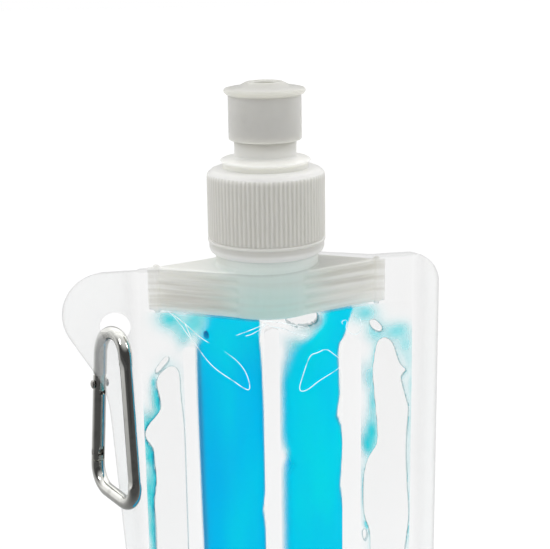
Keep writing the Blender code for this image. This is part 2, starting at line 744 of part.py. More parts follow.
def make_nozzle(material):
    inner = NOZZLE_R - NOZZLE_WALL
    grip = TOWER_R + TOUCH
    under = NOZZLE_TOP - OUTLET_DEEP
    profile = [
        (OUTLET_R, NOZZLE_TOP), (NOZZLE_TOP_R, NOZZLE_TOP), (NOZZLE_TOP_R + 0.9 * MM, NOZZLE_TOP - 0.3 * MM),
        (NOZZLE_DOME_R, NOZZLE_TOP - 1.2 * MM), (NOZZLE_LIP_R - 0.9 * MM, NOZZLE_LIP + 0.6 * MM),
        (NOZZLE_LIP_R, NOZZLE_LIP), (NOZZLE_LIP_R, NOZZLE_LIP - 0.6 * MM),
        (NOZZLE_LIP_R - 0.6 * MM, NOZZLE_LIP - 1.3 * MM), (NOZZLE_R, NOZZLE_LIP - 1.7 * MM),
        (NOZZLE_R, NOZZLE_FOOT + 0.3 * MM),
        (NOZZLE_R - 0.3 * MM, NOZZLE_FOOT), (grip, NOZZLE_FOOT), (grip, NOZZLE_FOOT + 0.9 * MM),
        (inner, NOZZLE_FOOT + 1.3 * MM), (inner, NOZZLE_LIP - 1.4 * MM),
        (inner - 0.8 * MM, NOZZLE_LIP - 0.7 * MM), (OUTLET_R + 1 * MM, under + 1 * MM),
        (OUTLET_R + 1 * MM, under), (OUTLET_R, under),
    ]
    nozzle = turned("nozzle", profile, material)
    nozzle.location.z = BOAT_TOP
    shade(nozzle, 30)
    return nozzle


# The carabiner
def ring_frame():
    """An empty where the ring hangs in the ear, turned across the film."""
    empty = bpy.data.objects.new("carabiner_axis", None)
    PARTS.objects.link(empty)
    place = Matrix.Translation((-HANG_X, 0, BOAT_TOP - EAR_HOLE_DROP - EAR_HOLE_R + BAR_R + HANG_GAP))
    turn = Matrix.Rotation(RING_TILT, 4, "Y") @ Matrix.Rotation(-RING_TURN, 4, "Z")
    empty.matrix_world = place @ turn
    return empty


def hold(obj, frame):
    obj.parent = frame
    return obj


def make_carabiner_body(frame, material):
    head = PIVOT_Z + GATE_HEAD_R + GATE_GAP
    nose = PIVOT_Z - GATE_LENGTH - GATE_GAP
    corners = [(GATE_X, head), (GATE_X, 0), (SPINE_TOP_X, 0), (SPINE_LOW_X, RING_FOOT),
               (GATE_X, RING_FOOT), (GATE_X, nose)]
    radii = [CROWN_LEFT_R, CROWN_RIGHT_R, FOOT_RIGHT_R, FOOT_LEFT_R]
    path = [(x, 0, z) for x, z in rounded_path(corners, radii)]
    body = hold(wire("carabiner_body", path, BAR_R, material), frame)
    half = TONGUE_HALF
    tongue = block("pivot_tongue", (GATE_X - half, -TONGUE_THICK / 2, PIVOT_Z - TONGUE_DROP),
                   (GATE_X + half, TONGUE_THICK / 2, head + 1 * MM), cutter=True)
    latch = block("latch_tongue", (GATE_X - half, -TONGUE_THICK / 2, nose - 1 * MM),
                  (GATE_X + half, TONGUE_THICK / 2, LATCH_Z + 2 * MM), cutter=True)
    eye = rod("pivot_eye", PIN_R + RUN_GAP, -4 * MM, 4 * MM, cutter=True, steps=16, along="Y")
    eye.location = (GATE_X, 0, PIVOT_Z)
    notch = block("latch_notch", (GATE_X - PIN_R - SLOT_GAP, -4 * MM, LATCH_Z - PIN_R - SLOT_GAP),
                  (GATE_X + 2 * half, 4 * MM, LATCH_Z + PIN_R + SLOT_GAP), cutter=True)
    for tool, operation in ((tongue, "UNION"), (latch, "UNION"), (eye, "DIFFERENCE"), (notch, "DIFFERENCE")):
        hold(tool, frame)
        boolean(body, tool, operation)
    shade(body, 50)
    return body


def make_gate(frame, material):
    foot = PIVOT_Z - GATE_LENGTH
    gate = rod("carabiner_gate", BAR_R, foot - PIVOT_Z, GATE_HEAD_R, material, steps=16)
    gate.location = (GATE_X, 0, PIVOT_Z)
    hold(gate, frame)
    slot = TONGUE_THICK / 2 + SLOT_GAP
    wide = 2 * BAR_R
    head_slot = block("head_slot", (-wide, -slot, -TONGUE_DROP - PLUNGER_TRAVEL - 0.6 * MM),
                      (wide, slot, 2 * GATE_HEAD_R), cutter=True)
    latch_low = LATCH_Z + 2 * MM + SLOT_GAP - PIVOT_Z
    foot_slot = block("foot_slot", (-wide, -slot, foot - PIVOT_Z - 1 * MM), (wide, slot, latch_low), cutter=True)
    bore_low = -TONGUE_DROP - TOUCH - PLUNGER_LENGTH - PLUNGER_TRAVEL - TOUCH - SPRING_LENGTH - TOUCH
    bore = rod("gate_bore", GATE_BORE_R, bore_low, 0, cutter=True, steps=16)
    eye = rod("gate_eye", PIN_R + RUN_GAP, -4 * MM, 4 * MM, cutter=True, steps=16, along="Y")
    latch_eye = rod("gate_latch_eye", PIN_R + RUN_GAP, -4 * MM, 4 * MM, cutter=True, steps=16, along="Y")
    latch_eye.location.z = LATCH_Z - PIVOT_Z
    round_head = rod("gate_round_head", GATE_HEAD_R, -4 * MM, 4 * MM, cutter=True, steps=32, along="Y")
    shank = block("gate_shank", (-wide, -4 * MM, foot - PIVOT_Z - 1 * MM), (wide, 4 * MM, 0), cutter=True)
    boolean(round_head, shank, "UNION")
    tools = [(round_head, "INTERSECT"), (head_slot, "DIFFERENCE"), (foot_slot, "DIFFERENCE"),
             (bore, "DIFFERENCE"), (eye, "DIFFERENCE"), (latch_eye, "DIFFERENCE")]
    for tool, _ in tools + [(shank, None)]:
        tool.location.x += GATE_X
        tool.location.z += PIVOT_Z
        hold(tool, frame)
    for tool, operation in tools:
        boolean(gate, tool, operation)
    shade(gate, 50)
    return gate


def make_rivet(frame, material):
    side = BAR_R + TOUCH
    rivet = turned("gate_rivet", [
        (0, side + RIVET_HEAD), (RIVET_HEAD_R * 0.6, side + RIVET_HEAD * 0.85), (RIVET_HEAD_R, side + RIVET_HEAD * 0.3),
        (RIVET_HEAD_R, side), (PIN_R, side), (PIN_R, -side), (RIVET_HEAD_R, -side),
        (RIVET_HEAD_R, -side - RIVET_HEAD * 0.3), (RIVET_HEAD_R * 0.6, -side - RIVET_HEAD * 0.85),
        (0, -side - RIVET_HEAD),
    ], material, steps=12)
    rivet.location = (GATE_X, 0, PIVOT_Z)
    rivet.rotation_euler.x = math.radians(90)
    shade(rivet)
    return hold(rivet, frame)


def make_latch_pin(frame, material):
    pin = rod("latch_pin", PIN_R, -BAR_R * 0.95, BAR_R * 0.95, material, steps=12, along="Y")
    pin.location = (GATE_X, 0, LATCH_Z)
    shade(pin)
    return hold(pin, frame)


def make_plunger(frame, material):
    top = -TONGUE_DROP - TOUCH
    plunger = turned("gate_plunger", [
        (0, top), (PLUNGER_R * 0.6, top), (PLUNGER_R, top - 0.5 * MM),
        (PLUNGER_R, top - PLUNGER_LENGTH), (0, top - PLUNGER_LENGTH),
    ], material, steps=12)
    plunger.location = (GATE_X, 0, PIVOT_Z)
    shade(plunger)
    return hold(plunger, frame)


def make_spring(frame, material):
    high = -TONGUE_DROP - TOUCH - PLUNGER_LENGTH - PLUNGER_TRAVEL - TOUCH - SPRING_WIRE_R
    length = SPRING_LENGTH - 2 * SPRING_WIRE_R
    count = 8 * SPRING_TURNS
    points = []
    for index in range(count + 1):
        angle = 2 * math.pi * index / 8
        points.append((SPRING_R * math.cos(angle), SPRING_R * math.sin(angle), high - length * index / count))
    spring = wire("gate_spring", points, SPRING_WIRE_R, material, sides=0)
    spring.location = (GATE_X, 0, PIVOT_Z)
    shade(spring, 80)
    return hold(spring, frame)


def build():
    film = make_material("clear_film", (0.90, 0.90, 0.89), 0.18, alpha=0.3)
    white = make_material("white_plastic", (0.52, 0.50, 0.46), 0.38)
    milky = make_material("milky_plastic", (0.58, 0.60, 0.56), 0.4)
    seal = make_material("liner_foam", (0.80, 0.80, 0.78), 0.7)
    blue = make_material("blue_drink", (0.0, 0.50, 0.82), 0.05)
    metal = make_material("polished_aluminium", (0.80, 0.81, 0.82), 0.16, metallic=1.0)
    steel = make_material("spring_steel", (0.55, 0.55, 0.56), 0.3, metallic=1.0)
    make_film("front_film", -1, film)
    make_film("back_film", 1, film)
    make_gusset(film)
    make_drink(blue)
    make_fitment(milky)
    make_liner(seal)
    make_cap(white)
    make_nozzle(white)
    frame = ring_frame()
    make_carabiner_body(frame, metal)
    make_gate(frame, metal)
    make_rivet(frame, steel)
    make_latch_pin(frame, steel)
    make_plunger(frame, steel)
    make_spring(frame, steel)


build()
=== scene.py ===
# Looks of the drink pouch: clear film, blue drink, moulded spout and cap, aluminium carabiner.
# Metres, +Z up, the front at -Y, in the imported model's own frame.
import math

import bmesh
import bpy
import numpy as np
from mathutils import Matrix, Vector


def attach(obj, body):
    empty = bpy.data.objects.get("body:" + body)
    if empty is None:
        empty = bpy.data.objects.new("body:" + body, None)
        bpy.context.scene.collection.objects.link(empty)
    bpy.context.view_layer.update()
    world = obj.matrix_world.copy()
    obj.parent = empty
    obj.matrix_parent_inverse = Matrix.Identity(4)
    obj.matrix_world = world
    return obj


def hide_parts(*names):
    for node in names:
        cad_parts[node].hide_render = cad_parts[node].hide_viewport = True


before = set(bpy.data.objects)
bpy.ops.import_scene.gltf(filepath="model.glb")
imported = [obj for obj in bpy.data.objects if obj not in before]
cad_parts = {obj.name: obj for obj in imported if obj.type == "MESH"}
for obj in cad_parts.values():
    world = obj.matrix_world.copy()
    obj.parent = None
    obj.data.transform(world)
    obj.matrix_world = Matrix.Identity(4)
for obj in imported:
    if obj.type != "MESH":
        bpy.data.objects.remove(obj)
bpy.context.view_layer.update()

MM = 0.001

# The pouch, as in the source: heights count from the boat's top face unless they say otherwise
BOAT_TOP = 215 * MM
FILM_THICK = 0.3 * MM
EDGE_RIGHT = 59.3 * MM
EDGE_LEFT_TOP = 55.4 * MM
EDGE_LEFT_LOW = 52 * MM
TAPER_TOP = 45.7 * MM
TAPER_LOW = 103 * MM
SEAM_LEFT = 44 * MM
SEAM_RIGHT = 50.3 * MM
POUCH_MIDDLE = (SEAM_RIGHT - SEAM_LEFT) / 2
POUCH_HALF = (SEAM_RIGHT + SEAM_LEFT) / 2
TOP_RISE = 0.25 * MM
TOP_SLOPE = 0.027
TOP_BLEND = 12 * MM
CORNER_R = 10.5 * MM
FOOT_CORNER_R = 6 * MM
EAR_X = 54.7 * MM
EAR_R = 15 * MM
EAR_DROP = 16.2 * MM
EAR_ANGLE = math.radians(31.5)
EAR_FILLET = 1.5 * MM
EAR_HOLE_X = 52.1 * MM
EAR_HOLE_DROP = 20.5 * MM
EAR_HOLE_R = 5.1 * MM
STRIPS = [
    (-27.4 * MM, 4.3 * MM, 28.5 * MM),
    (1.1 * MM, 5.7 * MM, 22.4 * MM),
    (29.1 * MM, 7 * MM, 27.7 * MM),
]
STRIP_FOOT = 52 * MM
OUTER_BLEND = 4 * MM
INNER_DEPTH = 9.5 * MM
OUTER_DEPTH = 6.5 * MM
INNER_ROUND = 11.3 * MM
OUTER_ROUND = 7.6 * MM
MANIFOLD_LOW = 42 * MM
PINCH_LOW = 20.6 * MM
BASE_DEPTH = 25 * MM
BASE_TOP = 50 * MM
SKIRT = 6 * MM
GUSSET_RIM = 4 * MM
GUSSET_THICK = 0.5 * MM
GUSSET_LIFT = 0.15 * MM
TOUCH = 0.3 * MM
FILM_FIT = 0.45 * MM
NECK_R = 17.3 * MM
BOAT_HEIGHT = 15 * MM
BOAT_CLEAR = 0.6 * MM
WING_R = 17 * MM
WING_TIP = 36.5 * MM
WING_TIP_HALF = 1 * MM
NUB_R = 1 * MM

# Cap and nozzle, heights above the boat's top face
NECK_HEIGHT = 29.4 * MM
LINER_THICK = 1 * MM
CAP_FOOT = 4.3 * MM
CAP_BEAD = 8.9 * MM
CAP_BORE_R = 18.3 * MM
CAP_BEAD_R = 19.85 * MM
CAP_SKIRT_R = 19.4 * MM
CAP_LIP_R = 17.95 * MM
RIB_COUNT = 80
RIB_VALLEY_R = 19.5 * MM
RIB_CREST_R = 19.75 * MM
RIB_ROOT_R = 19.25 * MM
RIB_TOP = 31.4 * MM
SHOULDER = 33 * MM
COLLAR_R = 14.3 * MM
SNAP_RIM = 35.3 * MM
SNAP_RIM_R = 15.15 * MM
TOWER_R = 10.35 * MM
TOWER_BORE_R = 8.8 * MM
TOWER_TOP = 51.6 * MM
TOWER_BEAD = 0.5 * MM
PLUG_R = 3.8 * MM
WEB_THICK = 1.4 * MM
WEB_LOW = 38.5 * MM
WEB_HIGH = 41.5 * MM
NOZZLE_TRAVEL = 4.8 * MM
NOZZLE_FOOT = 42.2 * MM
NOZZLE_R = 12.13 * MM
NOZZLE_WALL = 0.95 * MM
NOZZLE_LIP = 58.6 * MM
NOZZLE_LIP_R = 13.5 * MM
NOZZLE_TOP = 61.2 * MM
NOZZLE_TOP_R = 5.6 * MM
NOZZLE_DOME_R = 9.1 * MM
OUTLET_R = 4.1 * MM
OUTLET_DEEP = 2.9 * MM

# The carabiner, in the ring's own frame: x across the ring, y through it, z up, from its hanging point
HANG_X = 52.8 * MM
HANG_GAP = 0.65 * MM
RING_TURN = math.radians(60)
RING_TILT = math.radians(3.9)
BAR_R = 2.35 * MM
GATE_X = -8.8 * MM
SPINE_TOP_X = 7.3 * MM
SPINE_LOW_X = 19 * MM
BEND_RADII = [9.8 * MM, 7 * MM, 7 * MM, 8 * MM]
PIVOT_Z = -20.8 * MM
GATE_LENGTH = 27.9 * MM
GATE_HEAD_R = 3.2 * MM
GATE_GAP = 0.45 * MM
NOSE_STUB = 0.65 * MM
RING_FOOT = PIVOT_Z - GATE_LENGTH - GATE_GAP - NOSE_STUB - BEND_RADII[3]
LATCH_Z = PIVOT_Z - GATE_LENGTH + 2.7 * MM
LATCH_TOP = LATCH_Z + 2 * MM
PIN_R = 0.8 * MM
PIN_GAP = 0.12 * MM
TONGUE_THICK = 1.6 * MM
TONGUE_HALF = 1.8 * MM
TONGUE_DROP = 2.4 * MM
SLOT_GAP = 0.3 * MM
GATE_BORE_R = 1.3 * MM
SLOT_ROOM = 1.05 * MM
PLUNGER_ROOM = 15.35 * MM
SPINE_FLAT = 0.62
CUT_THROUGH = 4 * MM
PAST_END = 1 * MM
DOUBLES = 0.002 * MM

# Air in the drink, as outlines across and down the pouch
LEFT_AIR_MM = [
    (-38, -37.4), (-36.3, -35.9), (-34.7, -34.6), (-32.9, -34.5), (-31.6, -35.6), (-30.7, -38), (-30.7, -46),
    (-29.7, -56.5), (-29.8, -78.3), (-29.8, -112), (-31, -130), (-35.2, -137), (-39.6, -130), (-41.2, -112),
    (-40.9, -92.6), (-41.4, -84.4), (-40, -76.8), (-40.7, -68), (-40.7, -64.3), (-43.4, -61), (-43.6, -58.9),
    (-42.1, -55.4), (-38.4, -51.1), (-37.4, -48.2), (-38.9, -41.5), (-38.8, -39.2),
]
LEFT_BUBBLE_MM = [
    (-34.3, -31), (-35.8, -31.1), (-37.9, -33.7), (-39.1, -35.2), (-39.3, -36.5), (-38.2, -36.9), (-36.3, -34.7),
    (-34.2, -32.6),
]
RIGHT_AIR_MM = [
    (40.5, -27.8), (42.2, -28.6), (43.5, -30.5), (45.1, -36.4), (46.4, -38.2), (48.1, -39.8), (46.4, -41.3),
    (45.9, -42.8), (48.3, -51.4), (49.2, -54.2), (48.5, -61.2), (48.3, -72), (49.1, -86.3), (50, -95), (49.2, -101.5),
    (48.4, -107), (47.5, -126), (41.5, -134), (36.4, -126), (35.5, -108), (35.4, -99.6), (33.4, -95.2), (33, -88),
    (33.3, -76), (35.6, -69.8), (38.1, -65.9), (37.6, -59), (36.8, -50), (35.9, -40.3), (36.5, -34.5), (37.4, -29.6),
    (38.8, -28),
]
SPOUT_BUBBLE_MM = [
    (5, -17.1), (7.6, -15.8), (9.9, -14.8), (15, -15.1), (16.7, -17.6), (16, -19.8), (12.7, -21.2), (8.2, -20.7),
    (5.4, -18.8),
]
OVAL_BUBBLE_MM = [
    (34.7, -21.7), (35.8, -21.2), (37.5, -21.5), (39.5, -23.8), (39.5, -25.4), (38, -25.8), (35.5, -24.2),
]
LOW_BUBBLE_MM = [(33.1, -99.7), (34.3, -99.8), (34.4, -102.9), (33.5, -105), (32.8, -102.2)]
AIR_OUTLINES_MM = [LEFT_AIR_MM, LEFT_BUBBLE_MM, RIGHT_AIR_MM, SPOUT_BUBBLE_MM, OVAL_BUBBLE_MM, LOW_BUBBLE_MM]

# A round bubble: place across, height, radius
BUBBLE_MM = (-21.4, -22, 1.5)

# Edges of the full blue in the two middle tubes: height, and place across
LEFT_TUBE_LEFT_MM = [
    (-130, -24.2), (-103, -24.1), (-78, -24.5), (-50, -24.7), (-27, -24.9), (-23, -24), (-19, -22.5), (-15, -21),
]
LEFT_TUBE_RIGHT_MM = [
    (-130, -1.9), (-97, -2.2), (-88.7, -3), (-83, -2.1), (-53, -2.2), (-37, -2.6), (-31, -3), (-24, -3.8),
    (-15, -4.2),
]
RIGHT_TUBE_LEFT_MM = [
    (-130, 4.9), (-76, 5.1), (-71.1, 6.9), (-68.7, 5.6), (-64.3, 4.7), (-43, 4.8), (-35, 5.4), (-30, 6.6), (-26, 8.4),
    (-23, 11.8), (-20, 14.5), (-15, 16),
]
RIGHT_TUBE_RIGHT_MM = [
    (-130, 25.8), (-93, 26.2), (-81, 24.4), (-66.5, 25.9), (-58.6, 24.8), (-54.5, 22.9), (-51.3, 23.4), (-46.9, 24.3),
    (-32, 23.6), (-28, 24.2), (-25.9, 25.6), (-20, 27), (-15, 29),
]

# Thinner drink elsewhere: place across, height, half width, half height and strength of each soft patch
PATCHES_MM = [
    (35.4, -61.5, 2.2, 6.4, 0.95), (35.7, -50, 1.6, 6.4, 0.72), (34.5, -41.1, 2.2, 4.6, 0.6),
    (34.2, -66.5, 2.1, 4.6, 0.95), (8.5, -27, 3.2, 3.8, 0.6), (12, -19.5, 3.2, 2.4, 0.55),
    (-25.5, -18.5, 3.6, 4, 0.72), (-21.5, -15.6, 5, 2.2, 0.6), (-29.5, -24.5, 2.4, 3.8, 0.42),
    (36.9, -25, 3.6, 3.7, 0.66), (44.5, -25, 4.4, 2.8, 0.65), (33, -18.5, 4.4, 3, 0.75), (37, -34.5, 1.6, 5, 0.45),
    (47.6, -30, 3, 3.6, 0.55), (48.6, -36, 2, 3.4, 0.35), (49.2, -45.3, 1.6, 4.4, 0.3), (32.9, -82.8, 0.6, 6.6, 0.35),
    (34.2, -97.4, 0.9, 1.8, 0.9), (26.9, -15.1, 5, 2.9, 0.65), (44, -26.1, 4.3, 2.2, 0.22),
    (49.2, -99.9, 0.7, 4.4, 0.45), (49.1, -58.2, 0.7, 14.7, 0.15), (-33.5, -18, 4.3, 3.4, 0.9),
    (-28.5, -20.5, 4.3, 3.7, 0.55), (-24.8, -17.1, 2.9, 2.9, 0.3), (-35.1, -32.7, 3.6, 2.9, 0.12),
    (-39.8, -39.3, 1.1, 2.2, 0.85), (-38.9, -46.2, 2, 3.9, 0.62), (-42.1, -53.9, 2.9, 4.4, 0.58),
    (-42.3, -66.8, 2.1, 3.3, 0.9), (-42.7, -79.2, 2, 8.1, 0.85), (-42.6, -94.8, 1.4, 6.6, 0.55),
]

# Creases in the front film, drawn as ridges that carry a painted highlight
CREASES_MM = [
    [(-34.2, -14.6), (-31.9, -16.8), (-29.7, -19.5), (-27.9, -22.3), (-25.7, -25.4), (-23, -30), (-19, -34),
     (-13.6, -37.7), (-9.8, -41), (-7.9, -42.3), (-7.2, -41.5), (-7.8, -38), (-9.3, -34), (-12.1, -30.1),
     (-15.7, -27.4)],
    [(-32.8, -15.6), (-29.6, -17.8), (-26.5, -20.4), (-23.8, -23), (-20.7, -24.9)],
    [(-28.7, -18.4), (-27.7, -20.7), (-26.6, -23.8)],
    [(24.5, -34.1), (21.9, -31.4), (18.7, -28.2), (15.7, -29.3), (13.3, -29.6), (12, -33), (10.6, -38.3),
     (9.5, -42.5), (10.2, -43.7), (12.5, -42.8), (15.8, -39.9), (19.8, -38), (24.4, -36.6)],
    [(-2.2, -15.7), (-5.3, -17.8), (-8.4, -19.4), (-12, -21.2)],
    [(-2.2, -16.2), (-4.3, -19), (-6.5, -20.6), (-8.9, -21.2)],
    [(-3.5, -15.2), (1, -15.5), (5.8, -17.1), (11.7, -19.5)],
    [(-2.2, -16.4), (2.3, -18.9), (6.2, -20.9), (11.8, -22.6)],
    [(24.8, -20.7), (24.2, -19.6), (25.8, -19.1), (26.5, -20.2), (25.8, -22.2), (27.5, -24.5), (29.6, -25.8),
     (31.5, -24.5), (32, -22), (30.9, -19.3)],
]
CREASE_R = 0.14 * MM


# Colours of the materials
VEIL_DARK, VEIL_PALE = (0.04, 0.04, 0.036), (0.09, 0.09, 0.082)
WELD_MILK = (0.86, 0.87, 0.865)
BLUE_LEFT, BLUE_RIGHT = (0.0, 0.45, 0.84), (0.0, 0.61, 0.83)
BLUE_DRIFT_AND_SHEEN, BLUE_HAZE = (0.0, 0.70, 0.79), (0.0, 0.64, 0.71)
BLOTCH, SHADOW = (0.0, 0.24, 0.38), (0.05, 0.19, 0.36)
SHORE_LINE, AIR = (0.06, 0.17, 0.19), (0.50, 0.51, 0.48)
PLASTIC, FITMENT = (0.635, 0.625, 0.57), (0.60, 0.62, 0.58)
# Painted light on the mouldings: lighter upward faces, a fill-light colour and glows
PAINTED_TOP_LIGHT, PAINTED_FILL_WHITE, WING_WHITE = (0.86, 0.86, 0.84), (0.92, 0.92, 0.89), (0.80, 0.80, 0.77)
CROWN_GREY, PAINTED_RIB_SHADE, GROOVE_SHADE = (0.36, 0.36, 0.34), (0.42, 0.40, 0.34), (0.36, 0.35, 0.31)
PAINTED_GLOW, PAINTED_FILL_GLOW = (0.25, 0.24, 0.22), (1.0, 0.99, 0.95)
# Painted teal cast of the drink seen through the fitment
TEAL = (0.42, 0.67, 0.64)
FLOOR_PALE, FLOOR_DARK, FLOOR_BRIGHT = (0.86, 0.86, 0.86), (0.08, 0.08, 0.08), (0.95, 0.95, 0.95)


# Materials
def maths(operation, reverse=False):
    """A method of Value that adds a Math node."""
    def method(self, other=0.0):
        pair = (other, self) if reverse else (self, other)
        return self.nodes.node("Math", dict(enumerate(pair)), operation=operation)
    return method


class Value:
    """A node's output that can be used in sums."""

    def __init__(self, nodes, socket):
        self.nodes = nodes
        self.socket = socket

    __add__ = __radd__ = maths("ADD")
    __sub__, __rsub__ = maths("SUBTRACT"), maths("SUBTRACT", True)
    __mul__ = __rmul__ = maths("MULTIPLY")
    __abs__ = maths("ABSOLUTE")

    def ramp(self, low, high, first=0.0, second=1.0):
        """A smooth step from one value to another as this one goes from low to high."""
        sockets = {0: self, 1: low, 2: high, 3: first, 4: second}
        return self.nodes.node("MapRange", sockets, interpolation_type="SMOOTHSTEP")

    def part(self, axis):
        """A vector's share along an axis."""
        return self.nodes.node("SeparateXYZ", {0: self}, axis)


class Nodes:
    """A node tree, and the calls that add nodes to it."""

    def __init__(self, tree):
        self.tree = tree

    def feed(self, socket, value):
        if isinstance(value, Value):
            self.tree.links.new(value.socket, socket)
        else:
            socket.default_value = value

    def node(self, kind, sockets, output=0, **settings):
        made = self.tree.nodes.new("ShaderNode" + kind)
        for name, value in settings.items():
            setattr(made, name, value)
        for name, value in sockets.items():
            self.feed(made.inputs[name], value)
        return Value(self, made.outputs[output])

    def ray(self, kind):
        """1 for rays of a kind, else 0."""
        return self.node("LightPath", {}, "Is %s Ray" % kind)


class Finish(Nodes):
    """A Principled material with constants, and the nodes that vary it."""

    def __init__(self, name, color, roughness, **constants):
        self.material = bpy.data.materials.new(name)
        self.material.use_nodes = True
        super().__init__(self.material.node_tree)
        self.shader = self.tree.nodes["Principled BSDF"]
        self.set(base_color=(*color, 1.0), roughness=roughness, **constants)

    def set(self, **values):
        for name, value in values.items():
            label = name.replace("_", " ").title().replace("Ior", "IOR")
            self.feed(self.shader.inputs[label], value)

    def mix(self, share, first, second):
        """A colour between two colours."""
        pair = [value if isinstance(value, Value) else (*value, 1.0) for value in (first, second)]
        return self.node("Mix", {0: share, 6: pair[0], 7: pair[1]}, 2, data_type="RGBA")

    def place(self):
        return self.node("TexCoord", {}, "Object")

    def axis(self, name):
        return self.place().part(name)

    def upward(self):
        """How far a face looks up, from -1 to 1."""
        return self.node("NewGeometry", {}, "Normal").part("Z")

    def noise(self, scale, detail=2.0, stretch=(1, 1, 1)):
        mapped = self.node("Mapping", {"Vector": self.place(), "Scale": stretch})
        return self.node("TexNoise", {"Vector": mapped, "Scale": scale, "Detail": detail})

    def attribute(self, name):
        """A value painted on the mesh; 0 on a mesh without it."""
        return self.node("Attribute", {}, "Fac", attribute_name=name)

    def bump(self, height, strength, distance):
        self.set(normal=self.node("Bump", {"Height": height, "Strength": strength, "Distance": distance}))


def film_finish():
    """Clear film: a faint grey veil, milky in the welded ear and margin, darker along the cut edges."""
    finish = Finish("clear_film", (0.06, 0.06, 0.055), 0.2, specular_ior_level=0.3)
    edge = finish.attribute("edge")
    cloud = finish.noise(55, 3, (1, 1, 0.35))
    margin = abs(finish.axis("X") - POUCH_MIDDLE).ramp(47 * MM, 54 * MM)
    milk = finish.attribute("seal") * (1 - edge) * margin
    finish.set(alpha=0.042 + 0.044 * cloud + 0.15 * milk + 0.12 * edge)
    finish.set(base_color=finish.mix(milk, finish.mix(cloud, VEIL_DARK, VEIL_PALE), WELD_MILK))
    wrinkle = finish.noise(70, 4, (1, 1, 0.5)) + 0.35 * finish.noise(420, 2)
    finish.bump(wrinkle, 0.25, 0.8 * MM)
    return finish.material


def crease_highlight_finish():
    # Painted highlight: a near-white finish that glows, for the creases in the film.
    finish = Finish("film_crease", (0.80, 0.84, 0.84), 0.25, emission_strength=0.3)
    finish.set(emission_color=(0.85, 0.97, 1.0, 1.0))
    finish.set(alpha=finish.noise(330, 2).ramp(0.30, 0.55, 0.25, 0.95))
    return finish.material


def drink_finish():
    """Clear blue drink: its depth of colour, painted shade along the tubes' edges, lighter streaks that are partly a
    painted highlight, the lines round its air, and an even painted glow.
    """
    # An even painted glow: the drink also emits its own colour.
    finish = Finish("blue_drink", (0.0, 0.5, 0.82), 0.3, emission_strength=0.25, specular_ior_level=0.0)
    blue, tone, tube_edge_shade, shore, front = map(finish.attribute, ("blue", "tone", "tube_edge_shade", "shore", "front"))
    drift = finish.noise(38, 3, (1, 1, 0.45))
    deep = finish.mix((tone + drift * 0.7 - 0.35).ramp(0.0, 1.0), BLUE_LEFT, BLUE_RIGHT)
    # Lighter blue vertical streaks: partly the drink's drift of colour, partly a painted soft highlight.
    streak_drift_and_sheen = finish.noise(55, 2, (1, 1, 0.3)).ramp(0.42, 0.68)
    deep = finish.mix(streak_drift_and_sheen * tone * 0.8, deep, BLUE_DRIFT_AND_SHEEN)
    color = finish.mix(finish.attribute("core").ramp(0.1, 0.9), BLUE_HAZE, deep)
    blotch = shore.ramp(0.0, 1.3, 1.0, 0.0) * blue.ramp(0.35, 0.9) * finish.noise(230, 2).ramp(0.36, 0.58)
    color = finish.mix(blotch, color, BLOTCH)
    color = finish.mix(tube_edge_shade, color, SHADOW)
    line = abs(shore).ramp(0.08, 0.30, 1.0, 0.0) * front
    color = finish.mix(line * 0.75, color, SHORE_LINE)
    air = shore.ramp(0.10, -0.10) * front
    color = finish.mix(air * (1 - line), color, AIR)
    finish.set(base_color=color, emission_color=color)
    ragged = blue + (finish.noise(160, 3) - 0.5) * blue * (1 - blue) * 1.2
    finish.set(alpha=ragged * 0.998 * (1 - air) + 0.05 * air + line * 0.42)
    finish.bump(finish.noise(60, 3, (1, 1, 0.4)), 0.2, 1.0 * MM)
    return finish.material


def painted_shade_bubble_finish():
    """A bubble in the drink with painted shading, darker where it faces up and paler where it faces down, and a faint
    painted glow.
    """
    finish = Finish("bubble", (0.01, 0.20, 0.42), 0.08, emission_strength=0.15)
    grain = finish.noise(900, 2) * 0.4
    color = finish.mix((finish.upward() + grain).ramp(-0.6, 0.9), (0.0, 0.42, 0.72), (0.0, 0.10, 0.30))
    finish.set(base_color=color, emission_color=color, alpha=grain.ramp(0.0, 0.3, 0.7, 0.95))
    return finish.material


